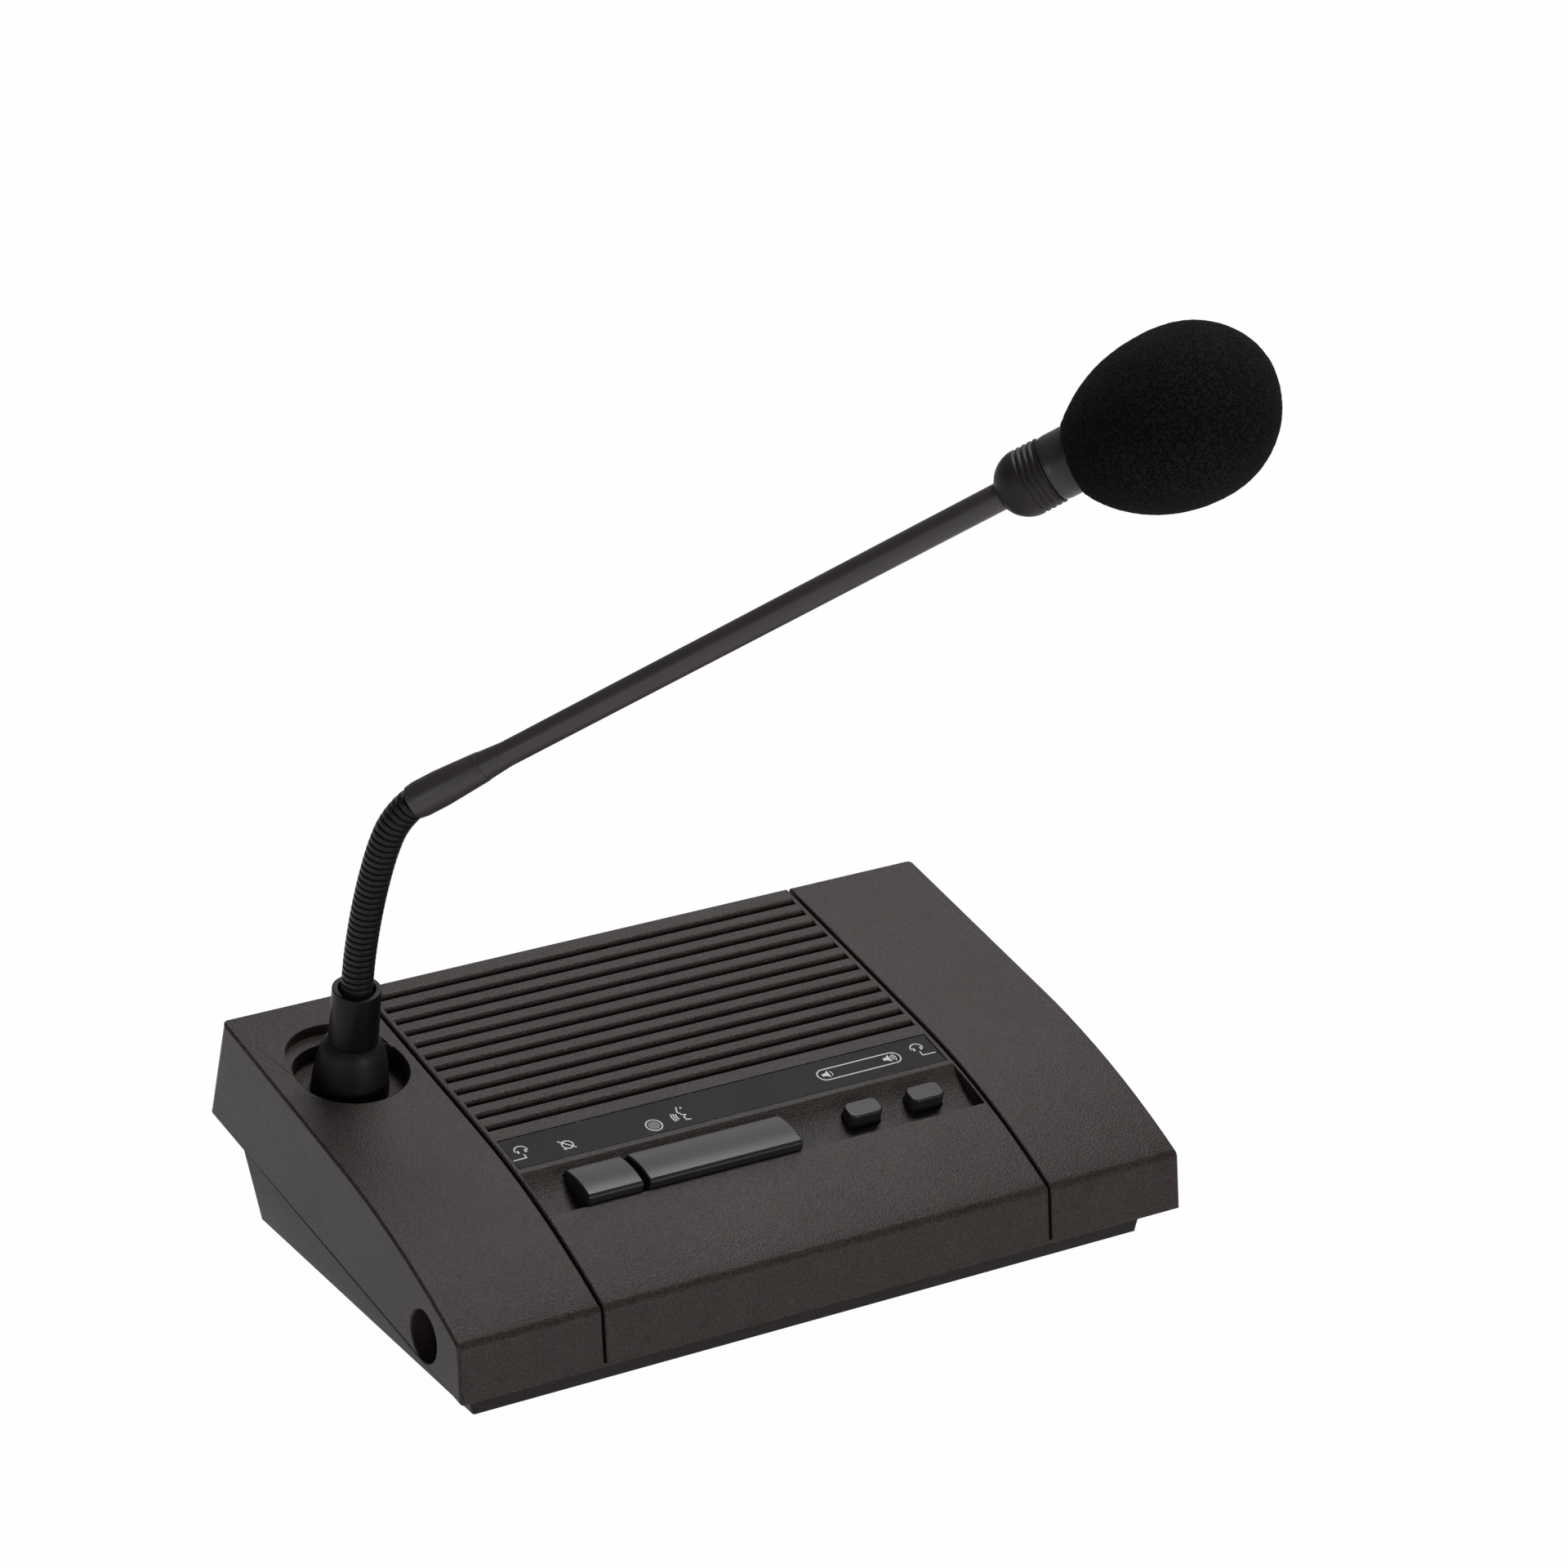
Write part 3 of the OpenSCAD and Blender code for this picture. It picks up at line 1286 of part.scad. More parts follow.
// Ellipse of the windscreen, hanging at its mouth, with a pocket for the housing
module foam_windscreen() {
    pocket = housing_front + foam_pocket - foam_mouth;
    color("#0c0c0c") at_head() translate([0, 0, foam_mouth]) difference() {
        rotate([0, foam_sag, 0]) rotate_extrude() polygon(concat(
            [for (i = [0:foam_rings]) let (a = i * foam_mouth_turn / foam_rings)
                [foam_r * sin(a), foam_mid + foam_half_l * cos(a)]],
            [[0, 0]]
        ));
        translate([0, 0, -foam_r]) cylinder(r = foam_bore, h = foam_r + pocket);
    }
}

bottom_tub();
top_cover();
centre_panel();
grille_cloth();
label_strip();
status_lens();
status_led();
main_board();
board_components();
board_screws();
switch_housings();
panel_screws();
case_screws();
rubber_feet();
speaker_gasket();
speaker_basket();
speaker_cone();
speaker_magnet();
speaker_screws();
headphone_jack(-1);  // left_jack
headphone_jack(1);  // right_jack
ring_nut(-1);  // left_jack_nut
ring_nut(1);  // right_jack_nut
link_socket(-1);  // link_socket_in
link_socket(1);  // link_socket_out
neck_bush();
neck_washer();
neck_nut();
bell_boot();
neck_collar();
neck_base();
mic_lead();
speaker_lead();
neck_link(1);  // neck_link_1
neck_link(2);  // neck_link_2
neck_link(3);  // neck_link_3
neck_link(4);  // neck_link_4
neck_link(5);  // neck_link_5
neck_link(6);  // neck_link_6
neck_link(7);  // neck_link_7
coupling_sleeve();
stem_tube();
bellows_boot();
capsule_housing();
capsule();
capsule_guard();
foam_windscreen();
talk_button();
switch_plunger(talk_x, key_v);  // talk_plunger
mute_button();
switch_plunger(mute_x, key_v);  // mute_plunger
volume_button(volume_down_x);  // volume_down_button
switch_plunger(volume_down_x, 0);  // volume_down_plunger
volume_button(volume_up_x);  // volume_up_button
switch_plunger(volume_up_x, 0);  // volume_up_plunger
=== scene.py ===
"""Looks of a desktop conference microphone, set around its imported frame.

Sizes are in metres, unless a name says otherwise. X runs across the desk,
Y towards the back, Z up, and the origin lies on the desk under the cover.
"""

import json
import logging
import math
from dataclasses import dataclass, field
from enum import Enum
from typing import Callable, Mapping, Sequence, Union

import bmesh
import bpy
import numpy as np
from mathutils import Matrix, Vector, noise


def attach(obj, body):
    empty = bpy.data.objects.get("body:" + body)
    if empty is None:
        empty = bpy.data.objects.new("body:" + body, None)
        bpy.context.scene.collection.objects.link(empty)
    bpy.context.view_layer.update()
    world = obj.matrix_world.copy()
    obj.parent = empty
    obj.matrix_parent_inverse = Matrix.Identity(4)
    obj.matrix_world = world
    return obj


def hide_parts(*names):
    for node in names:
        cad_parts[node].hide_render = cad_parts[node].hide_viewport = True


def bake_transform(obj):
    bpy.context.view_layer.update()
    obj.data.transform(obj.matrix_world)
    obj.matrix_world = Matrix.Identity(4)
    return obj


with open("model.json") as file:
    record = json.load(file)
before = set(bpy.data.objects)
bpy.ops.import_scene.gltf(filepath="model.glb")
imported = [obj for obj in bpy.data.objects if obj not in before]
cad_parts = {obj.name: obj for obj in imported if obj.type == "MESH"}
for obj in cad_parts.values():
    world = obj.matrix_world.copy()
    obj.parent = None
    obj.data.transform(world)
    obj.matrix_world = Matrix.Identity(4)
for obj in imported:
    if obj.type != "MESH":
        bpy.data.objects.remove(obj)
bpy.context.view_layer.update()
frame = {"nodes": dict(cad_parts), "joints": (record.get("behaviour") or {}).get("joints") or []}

log = logging.getLogger("conference_microphone")

MM = 0.001
UM = 0.000001

Colour = tuple[float, float, float]
Point2 = tuple[float, float]
Corner = tuple[float, float, float]
Term = Union["Wire", float, int, Sequence[float]]

# Places that more than one sub-assembly needs.
STRIP_Y = -16.4 * MM
NECK_AT: Point2 = (-81 * MM, 29.7 * MM)

# How near a point has to be to lie on an edge of the tub or of a key.
NEAR = 20 * UM

# Finer layers of a noise, and the part of its range that colour and height use.
BROAD_DETAIL, GRAIN_DETAIL, FINE_DETAIL = 3.0, 2.0, 1.0
TONE_BAND: Point2 = (0.3, 0.7)
RELIEF_BAND: Point2 = (0.25, 0.75)

# Meshes: degrees over which an edge shades crisply, on hard and on soft pieces, and the share
# of a side that a rounding may take.
SHARP, SOFT = 40.0, 60.0
ROUNDING_SHARE = 0.49

# Copies of nodes: what counts as one point, as flat, and as an edge to round.
WELD = 2 * UM
FLAT_ANGLE = math.radians(0.25)
EDGE_ANGLE = math.radians(24)


class Slot(Enum):
    """The record's material slots."""

    CASE = "case_plastic"
    KEY = "key_plastic"
    PLUNGER = "plunger_plastic"
    STRIP = "strip_film"
    LENS = "lens"
    LAMP = "lamp"
    CLOTH = "cloth"
    BOARD = "board"
    CHIPS = "chips"
    STEEL = "screw_steel"
    RUBBER = "rubber"
    GASKET = "gasket"
    BASKET = "speaker_steel"
    CONE = "cone"
    MAGNET = "magnet"
    JACK = "jack"
    NICKEL = "nickel"
    BLACK_METAL = "black_metal"
    STEM = "stem"
    HEAD = "head_plastic"
    CAPSULE = "capsule"
    FOAM = "foam"
    LEAD = "lead"


class Body(Enum):
    """The bodies that new pieces ride on."""

    BASE = "base"
    TALK = "talk_key"
    MUTE = "mute_key"
    VOLUME_DOWN = "volume_down_key"
    VOLUME_UP = "volume_up_key"
    HEAD = "head"
    WINDSCREEN = "windscreen"


class Wire:
    """An output socket of a node tree, on which shader maths is written as plain sums."""

    def __init__(self, bench: "Bench", socket: bpy.types.NodeSocket) -> None:
        """Keeps the socket and the bench that its nodes stand on."""
        self.bench = bench
        self.socket = socket

    def _math(self, operation: str, first: Term, second: Term) -> "Wire":
        """Adds one Math node.

        Args:
            operation: Blender's name of the operation.
            first: The first value or wire.
            second: The second value or wire.

        Returns:
            The wire of the result.
        """
        return self.bench.add("ShaderNodeMath", {"operation": operation}, {0: first, 1: second})

    def __add__(self, other: Term) -> "Wire":
        """Adds a value or wire."""
        return self._math("ADD", self, other)

    def __radd__(self, other: Term) -> "Wire":
        """Adds this wire to a value."""
        return self._math("ADD", other, self)

    def __sub__(self, other: Term) -> "Wire":
        """Takes a value or wire away."""
        return self._math("SUBTRACT", self, other)

    def __rsub__(self, other: Term) -> "Wire":
        """Takes this wire from a value."""
        return self._math("SUBTRACT", other, self)

    def __mul__(self, other: Term) -> "Wire":
        """Multiplies by a value or wire."""
        return self._math("MULTIPLY", self, other)

    def __rmul__(self, other: Term) -> "Wire":
        """Multiplies a value by this wire."""
        return self._math("MULTIPLY", other, self)

    def __gt__(self, other: Term) -> "Wire":
        """Is 1 where this wire is above a value or wire, and 0 elsewhere."""
        return self._math("GREATER_THAN", self, other)

    def __abs__(self) -> "Wire":
        """Drops the sign."""
        return self._math("ABSOLUTE", self, 0.0)

    def most(self, other: Term) -> "Wire":
        """Is the larger of this wire and another."""
        return self._math("MAXIMUM", self, other)

    def sine(self) -> "Wire":
        """Is the sine of this wire, in radians."""
        return self._math("SINE", self, 0.0)


class Bench:
    """A node tree in which a finish is put together."""

    def __init__(self, tree: bpy.types.NodeTree) -> None:
        """Clears the tree and keeps it."""
        tree.nodes.clear()
        self.tree = tree

    def add(
        self,
        kind: str,
        settings: Mapping[str, object] | None = None,
        inputs: Mapping[str | int, Term] | None = None,
        out: str | int = 0,
    ) -> Wire | None:
        """Adds a node of any type.

        Args:
            kind: Blender's type of the node.
            settings: What is set on the node first.
            inputs: Values or wires of its input sockets.
            out: The output socket that is wanted.

        Returns:
            The wire of that output, or None where the node has no outputs.
        """
        made = self.tree.nodes.new(kind)
        for name, value in (settings or {}).items():
            setattr(made, name, value)
        for key, value in (inputs or {}).items():
            if isinstance(value, Wire):
                self.tree.links.new(value.socket, made.inputs[key])
            else:
                made.inputs[key].default_value = value
        return Wire(self, made.outputs[out]) if len(made.outputs) else None

    def place(self) -> Wire:
        """Is the place on the part, in metres."""
        return self.add("ShaderNodeTexCoord", out="Object")

    def axes(self, *names: str) -> list[Wire]:
        """Splits the place on the part into some of its coordinates, such as X and Y."""
        spot = self.place()
        return [self.add("ShaderNodeSeparateXYZ", {}, {0: spot}, name) for name in names]

    def grain(
        self, size: float, detail: float = GRAIN_DETAIL, stretch: Sequence[float] = (1, 1, 1)
    ) -> Wire:
        """Adds a noise.

        Args:
            size: Size of its spots, in metres.
            detail: How many finer layers it has.
            stretch: Factors on the three axes.

        Returns:
            The wire of the noise, around 0.5.
        """
        spot = self.add(
            "ShaderNodeVectorMath", {"operation": "MULTIPLY"}, {0: self.place(), 1: tuple(stretch)}
        )
        return self.add(
            "ShaderNodeTexNoise", {}, {"Vector": spot, "Scale": 1 / size, "Detail": detail}
        )

    def cells(self, size: float) -> Wire:
        """Adds round cells.

        Args:
            size: Size of a cell, in metres.

        Returns:
            The wire of the distance from a cell's middle.
        """
        return self.add(
            "ShaderNodeTexVoronoi", {"feature": "F1"}, {"Vector": self.place(), "Scale": 1 / size}
        )

    def ramp(self, wire: Wire, low: float, high: float) -> Wire:
        """Spreads a part of a wire's range.

        Args:
            wire: The wire.
            low: What becomes 0.
            high: What becomes 1.

        Returns:
            The wire of the spread value.
        """
        return self.add(
            "ShaderNodeMapRange",
            {"clamp": True},
            {"Value": wire, "From Min": low, "From Max": high, "To Min": 0.0, "To Max": 1.0},
        )

    def mix(self, share: Term, first: Term, second: Term) -> Wire:
        """Mixes two colours.

        Args:
            share: How much of the second one there is.
            first: The colour at share 0.
            second: The colour at share 1.

        Returns:
            The wire of the mixed colour.
        """
        # Its sockets for colours share their names with others, so they go by number.
        return self.add(
            "ShaderNodeMix",
            {"data_type": "RGBA"},
            {0: share, 6: self._rgba(first), 7: self._rgba(second)},
            out=2,
        )

    @staticmethod
    def _rgba(colour: Term) -> Term:
        """Gives a plain colour its alpha."""
        return colour if isinstance(colour, Wire) else (*colour, 1.0)

    def bump(self, height: Wire, depth: float) -> Wire:
        """Turns a height into a normal.

        Args:
            height: The height, from 0 to 1.
            depth: What a height of 1 is, in metres.

        Returns:
            The wire of the normal.
        """
        return self.add(
            "ShaderNodeBump", {}, {"Strength": 1.0, "Distance": depth, "Height": height}, "Normal"
        )


@dataclass(frozen=True)
class Finish:
    """A moulded or plain surface: mottled colour, fine grain and an uneven sheen.

    Fields:
        slot: The record's slot that it belongs to.
        colour, second: The two colours that the mottling runs between.
        roughness, spread: Roughness, and how far it wanders.
        specular, metallic, coat: As on the shader.
        mottle, grain: Sizes of the mottling and of the grain.
        depth: Depth of the grain.
        speckle: How much of the second colour the grain adds.
        suffix: Tells finishes of one slot apart.
    """

    slot: Slot
    colour: Colour
    second: Colour
    roughness: float
    spread: float = 0.08
    specular: float = 0.5
    metallic: float = 0.0
    coat: float = 0.0
    mottle: float = 9 * MM
    grain: float = 0.5 * MM
    depth: float = 20 * UM
    speckle: float = 0.5
    suffix: str = "finish"

    def material(self) -> bpy.types.Material:
        """Makes the material, or finds it where it is made already.

        Returns:
            The material.
        """
        name = f"{self.slot.value}_{self.suffix}"
        found = bpy.data.materials.get(name)
        if found:
            return found
        made = bpy.data.materials.new(name)
        made.use_nodes = True
        made.diffuse_color = (*self.colour, 1.0)
        bench = Bench(made.node_tree)
        bench.add("ShaderNodeOutputMaterial", {}, {"Surface": self.shade(bench)})
        return made

    def tone(self, bench: Bench) -> Wire:
        """Lays the colour: broad mottling with the grain's speckle over it.

        Args:
            bench: The tree to build in.

        Returns:
            The wire of the colour.
        """
        broad = bench.grain(self.mottle, BROAD_DETAIL)
        fine = bench.ramp(bench.grain(self.grain, FINE_DETAIL), *TONE_BAND)
        share = bench.ramp(broad, *TONE_BAND) * (1 - self.speckle) + fine * self.speckle
        return bench.mix(share, self.colour, self.second)

    def relief(self, bench: Bench) -> Wire:
        """Is the height of the surface, from 0 to 1."""
        return bench.ramp(bench.grain(self.grain), *RELIEF_BAND)

    def sheen(self, bench: Bench) -> Wire:
        """Is the roughness, which wanders a little over three mottles' length."""
        wander = bench.grain(3 * self.mottle)
        return wander * (2 * self.spread) + (self.roughness - self.spread)

    def shade(self, bench: Bench) -> Wire:
        """Joins colour, sheen and relief in a shader.

        Args:
            bench: The tree to build in.

        Returns:
            The wire of the shader.
        """
        return bench.add(
            "ShaderNodeBsdfPrincipled",
            {},
            {
                "Base Color": self.tone(bench),
                "Roughness": self.sheen(bench),
                "Metallic": self.metallic,
                "Specular IOR Level": self.specular,
                "Coat Weight": self.coat,
                "Normal": bench.bump(self.relief(bench), self.depth),
            },
        )


@dataclass(frozen=True)
class TurnedFinish(Finish):
    """Turned or drawn metal: fine lines along X that break up its sheen.

    Fields:
        stretch: Factors on the three axes that draw the grain out into lines.
    """

    stretch: tuple[float, float, float] = (0.05, 1.0, 1.0)

    def relief(self, bench: Bench) -> Wire:
        """Is the height of the drawn lines."""
        return bench.ramp(bench.grain(self.grain, stretch=self.stretch), *RELIEF_BAND)


@dataclass(frozen=True)
class FoamFinish(Finish):
    """Open foam: round pores, with painted shade darkening their insides, in a dull black skeleton.

    Fields:
        pore_band, pore_shade: The part of a pore in which its height changes, and in which painted
            shade changes its colour.
        pore_share: How much of the height is pores; the rest is soft unevenness.
    """

    pore_band: Point2 = (0.1, 0.7)
    pore_shade: Point2 = (0.15, 0.75)
    pore_share: float = 0.7

    def relief(self, bench: Bench) -> Wire:
        """Is the height of the skeleton between the pores."""
        pores = bench.ramp(bench.cells(self.grain), *self.pore_band) * self.pore_share
        return pores + bench.grain(self.mottle) * (1 - self.pore_share)

    def tone(self, bench: Bench) -> Wire:
        """Lays the colour, with painted shade darkest inside the pores."""
        share = bench.ramp(bench.cells(self.grain), *self.pore_shade)
        return bench.mix(share, self.colour, self.second)


@dataclass(frozen=True)
class ClothFinish(Finish):
    """Plain woven cloth, with a thread every grain."""

    def relief(self, bench: Bench) -> Wire:
        """Is the height of the crossing threads, spread from -1..1 to 0..1.

        Args:
            bench: The tree to build in.

        Returns:
            The wire of the height.
        """
        turn = math.tau / self.grain
        across, along = ((axis * turn).sine() for axis in bench.axes("X", "Y"))
        return across * along * 0.5 + 0.5


@dataclass(frozen=True)
class FilmFinish(Finish):
    """The film of the label strip, with painted glints as pale flecks along its cut edge.

    Fields:
        half, reach: Half its width and half its depth.
        edge: Width of the cut edge.
        glint, glint_size, glint_band: Colour and size of the painted glints, and how few there are.
    """

    half: float = 61.35 * MM
    reach: float = 5.46 * MM
    edge: float = 0.12 * MM
    glint: Colour = (0.11, 0.11, 0.11)
    glint_size: float = 1.6 * MM
    glint_band: Point2 = (0.56, 0.68)

    def tone(self, bench: Bench) -> Wire:
        """Lays the film's colour, and the painted glints where its edge is near.

        Args:
            bench: The tree to build in.

        Returns:
            The wire of the colour.
        """
        across, along = bench.axes("X", "Y")
        side = abs(across) - (self.half - self.edge)
        front = abs(along - STRIP_Y) - (self.reach - self.edge)
        near = side.most(front) > 0.0
        # Pale flecks near the cut edge: painted glints.
        glints = bench.ramp(bench.grain(self.glint_size, BROAD_DETAIL), *self.glint_band)
        return bench.mix(near * glints, super().tone(bench), self.glint)


@dataclass(frozen=True)
class BoardFinish(Finish):
    """Solder mask over a net of copper tracks.

    Fields:
        track, pitch, track_band: Colour, distance and soft edges of the tracks.
    """

    track: Colour = (0.03, 0.16, 0.08)
    pitch: float = 4 * MM
    track_band: Point2 = (0.04, 0.08)

    def tone(self, bench: Bench) -> Wire:
        """Lays the mask, paler over the tracks.

        Args:
            bench: The tree to build in.

        Returns:
            The wire of the colour.
        """
        net = bench.add(
            "ShaderNodeTexVoronoi",
            {"feature": "DISTANCE_TO_EDGE", "distance": "EUCLIDEAN"},
            {"Vector": bench.place(), "Scale": 1 / self.pitch},
        )
        return bench.mix(1 - bench.ramp(net, *self.track_band), super().tone(bench), self.track)


# The moulded texture of the case, and the film of the strip and of the lens's surround.
MOULDED = {"grain": 0.45 * MM, "depth": 75 * UM, "speckle": 0.85}
FILM_COLOURS = ((0.0105, 0.0102, 0.0108), (0.0165, 0.016, 0.0168))
FILM = {"roughness": 0.52, "specular": 0.1, "grain": 0.35 * MM, "depth": 8 * UM, "speckle": 0.7}

CASE = Finish(
    Slot.CASE, (0.0145, 0.011, 0.0102), (0.0525, 0.0398, 0.037), 0.38, 0.04,
    specular=0.14, **MOULDED,
)
# The case's plastic again, darker for the tub: painted shade, standing in for the shadow under the
# cover's overhang.
TUB_PAINTED_SHADE = Finish(
    Slot.CASE, (0.0068, 0.0052, 0.0048), (0.0245, 0.0187, 0.0174), 0.4, 0.04,
    specular=0.12, suffix="tub", **MOULDED,
)
KEY = Finish(
    Slot.KEY, (0.0135, 0.0137, 0.0147), (0.0175, 0.0178, 0.019), 0.34, 0.04,
    specular=0.27, grain=0.7 * MM, depth=6 * UM, speckle=0.3,
)
PLUNGER = Finish(Slot.PLUNGER, (0.78, 0.77, 0.73), (0.84, 0.82, 0.78), 0.42)
STRIP = FilmFinish(Slot.STRIP, *FILM_COLOURS, **FILM)
SURROUND = Finish(Slot.STRIP, *FILM_COLOURS, suffix="surround", **FILM)
INK = Finish(
    Slot.STRIP, (0.55, 0.55, 0.53), (0.66, 0.66, 0.64), 0.6,
    grain=0.25 * MM, depth=4 * UM, suffix="ink",
)
LENS = Finish(
    Slot.LENS, (0.12, 0.12, 0.124), (0.18, 0.18, 0.184), 0.4, 0.04,
    specular=0.2, grain=0.35 * MM, depth=6 * UM, speckle=0.9,
)
LAMP = Finish(Slot.LAMP, (0.66, 0.66, 0.6), (0.74, 0.74, 0.7), 0.2, 0.04, coat=0.5)
CLOTH = ClothFinish(
    Slot.CLOTH, (0.008, 0.008, 0.008), (0.014, 0.014, 0.014), 0.9, 0.05,
    specular=0.1, grain=0.6 * MM, depth=120 * UM,
)
BOARD = BoardFinish(Slot.BOARD, (0.012, 0.075, 0.038), (0.016, 0.09, 0.046), 0.4)
CHIPS = Finish(Slot.CHIPS, (0.014, 0.014, 0.015), (0.03, 0.03, 0.03), 0.55)
STEEL = TurnedFinish(
    Slot.STEEL, (0.5, 0.51, 0.53), (0.6, 0.6, 0.61), 0.32, metallic=1.0, depth=8 * UM
)
RUBBER = Finish(
    Slot.RUBBER, (0.006, 0.0056, 0.0052), (0.011, 0.0103, 0.0096), 0.5, 0.06,
    specular=0.17, grain=0.4 * MM, depth=10 * UM,
)
BELLOWS = Finish(
    Slot.RUBBER, (0.018, 0.0155, 0.0143), (0.026, 0.0225, 0.0208), 0.5, 0.06,
    specular=0.16, grain=0.4 * MM, depth=10 * UM, suffix="bellows",
)
GASKET = Finish(Slot.GASKET, (0.014, 0.014, 0.014), (0.024, 0.024, 0.024), 0.85, specular=0.2)
BASKET = Finish(Slot.BASKET, (0.05, 0.05, 0.055), (0.07, 0.07, 0.075), 0.5)
CONE = Finish(
    Slot.CONE, (0.016, 0.0145, 0.012), (0.03, 0.027, 0.022), 0.9,
    specular=0.15, grain=1.2 * MM, depth=60 * UM,
)
MAGNET = Finish(Slot.MAGNET, (0.11, 0.11, 0.12), (0.16, 0.16, 0.17), 0.6, metallic=0.4)
JACK = Finish(Slot.JACK, (0.012, 0.012, 0.013), (0.022, 0.022, 0.024), 0.45)
NICKEL = TurnedFinish(
    Slot.NICKEL, (0.42, 0.42, 0.43), (0.52, 0.52, 0.52), 0.28, metallic=1.0, depth=6 * UM
)
BLACK_METAL = Finish(
    Slot.BLACK_METAL, (0.0035, 0.0032, 0.0031), (0.006, 0.0056, 0.0055), 0.36, 0.05,
    specular=0.15, grain=0.3 * MM, depth=4 * UM,
)
FLEX = Finish(
    Slot.BLACK_METAL, (0.007, 0.0064, 0.0062), (0.012, 0.011, 0.0106), 0.42, 0.06,
    specular=0.2, grain=0.35 * MM, depth=8 * UM, suffix="flex",
)
STEM = Finish(
    Slot.STEM, (0.034, 0.0285, 0.0275), (0.046, 0.039, 0.0378), 0.42, 0.05,
    specular=0.44, grain=0.35 * MM, depth=6 * UM,
)
HEAD = Finish(
    Slot.HEAD, (0.028, 0.0232, 0.0226), (0.038, 0.032, 0.0312), 0.4, 0.05,
    specular=0.34, grain=0.35 * MM, depth=6 * UM,
)
CAPSULE = TurnedFinish(Slot.CAPSULE, (0.36, 0.34, 0.27), (0.44, 0.42, 0.34), 0.35, metallic=1.0)
# The first colour is painted shade inside the pores, the second the skeleton's own black.
FOAM = FoamFinish(
    Slot.FOAM, (0.0022, 0.0019, 0.0019), (0.0125, 0.0108, 0.0111), 0.95, 0.03,
    specular=0.05, grain=0.7 * MM, mottle=3 * MM, depth=250 * UM,
)
LEAD = Finish(Slot.LEAD, (0.08, 0.08, 0.082), (0.11, 0.11, 0.112), 0.5)


def add_piece(
    name: str,
    mesh: bpy.types.Mesh,
    finish: Finish,
    body: Body | None,
    stands_for: Sequence[str] = (),
) -> bpy.types.Object:
    """Adds a piece to the part and reports it.

    Args:
        name: Name of the piece.
        mesh: Its mesh, in the shared frame.
        finish: Its finish.
        body: The body that it rides on, or None.
        stands_for: The frame's nodes that it replaces.

    Returns:
        The new object.
    """
    piece = bpy.data.objects.new(name, mesh)
    bpy.context.scene.collection.objects.link(piece)
    mesh.materials.clear()
    mesh.materials.append(finish.material())
    if stands_for:
        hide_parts(*stands_for)
    if body:
        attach(piece, body.value)
    log.info("%s: %d faces, %s", name, len(mesh.polygons), finish.slot.value)
    return piece


def dress(finish: Finish, *nodes: str) -> None:
    """Gives nodes of the frame a finish.

    Args:
        finish: The finish.
        nodes: Names of the nodes.
    """
    for name in nodes:
        mesh = frame["nodes"][name].data
        mesh.materials.clear()
        mesh.materials.append(finish.material())
        log.info("%s: kept, %s", name, finish.slot.value)


def rounded(corners: Sequence[Corner], steps: int = 5) -> list[Point2]:
    """Rounds the corners of a closed outline.

    Args:
        corners: Corners as (radius from the axis, height, rounding).
        steps: Number of sides that a rounded corner gets.

    Returns:
        The points of the rounded outline.
    """
    points: list[Point2] = []
    for index, (x, y, rounding) in enumerate(corners):
        here = Vector((x, y))
        before = Vector(corners[index - 1][:2]) - here
        after = Vector(corners[(index + 1) % len(corners)][:2]) - here
        if rounding <= 0:
            points.append((x, y))
            continue
        half_angle = before.angle(after) / 2
        shorter = min(before.length, after.length)
        reach = min(rounding / math.tan(half_angle), ROUNDING_SHARE * shorter)
        start = here + before.normalized() * reach
        end = here + after.normalized() * reach
        for step in range(steps + 1):
            share = step / steps
            spot = start * (1 - share) ** 2 + here * (2 * share * (1 - share)) + end * share**2
            points.append((spot.x, spot.y))
    return points


def circle(around: int) -> list[Point2]:
    """Are the points of a circle of radius 1.

    Args:
        around: Number of sides.

    Returns:
        The points, from the first axis towards the second.
    """
    turns = [math.tau * side / around for side in range(around)]
    return [(math.cos(turn), math.sin(turn)) for turn in turns]


def lathe(
    outline: Sequence[Point2], at: Matrix, around: int = 96, sharp: float = SHARP
) -> bpy.types.Mesh:
    """Turns a closed outline into a ring-shaped or solid mesh.

    Args:
        outline: Points as (radius, height), counter-clockwise seen with height up.
        at: The place, with Z along the axis.
        around: Number of sides.
        sharp: Edges that turn by more degrees than this stay crisp.

    Returns:
        The mesh.
    """
    made = bmesh.new()
    rings = []
    for radius, height in outline:
        if radius < UM:
            rings.append([made.verts.new((0, 0, height))] * around)
            continue
        rings.append([
            made.verts.new((radius * x, radius * y, height)) for x, y in circle(around)
        ])
    for ring, above in zip(rings, rings[1:] + rings[:1]):
        for side in range(around):
            after = (side + 1) % around
            loop = dict.fromkeys((ring[side], ring[after], above[after], above[side]))
            if len(loop) > 2:
                made.faces.new(list(loop))
    bmesh.ops.recalc_face_normals(made, faces=made.faces)
    return finished(made, at, sharp)


def finished(
    made: bmesh.types.BMesh, at: Matrix | None = None, sharp: float = SHARP
) -> bpy.types.Mesh:
    """Turns a bmesh into a smooth mesh with crisp edges.

    Args:
        made: The bmesh, which is freed.
        at: Where it goes.
        sharp: Edges that turn by more degrees than this stay crisp.

    Returns:
        The mesh.
    """
    mesh = bpy.data.meshes.new("mesh")
    made.to_mesh(mesh)
    made.free()
    if at:
        mesh.transform(at)
    mesh.shade_smooth()
    mesh.set_sharp_from_angle(angle=math.radians(sharp))
    return mesh


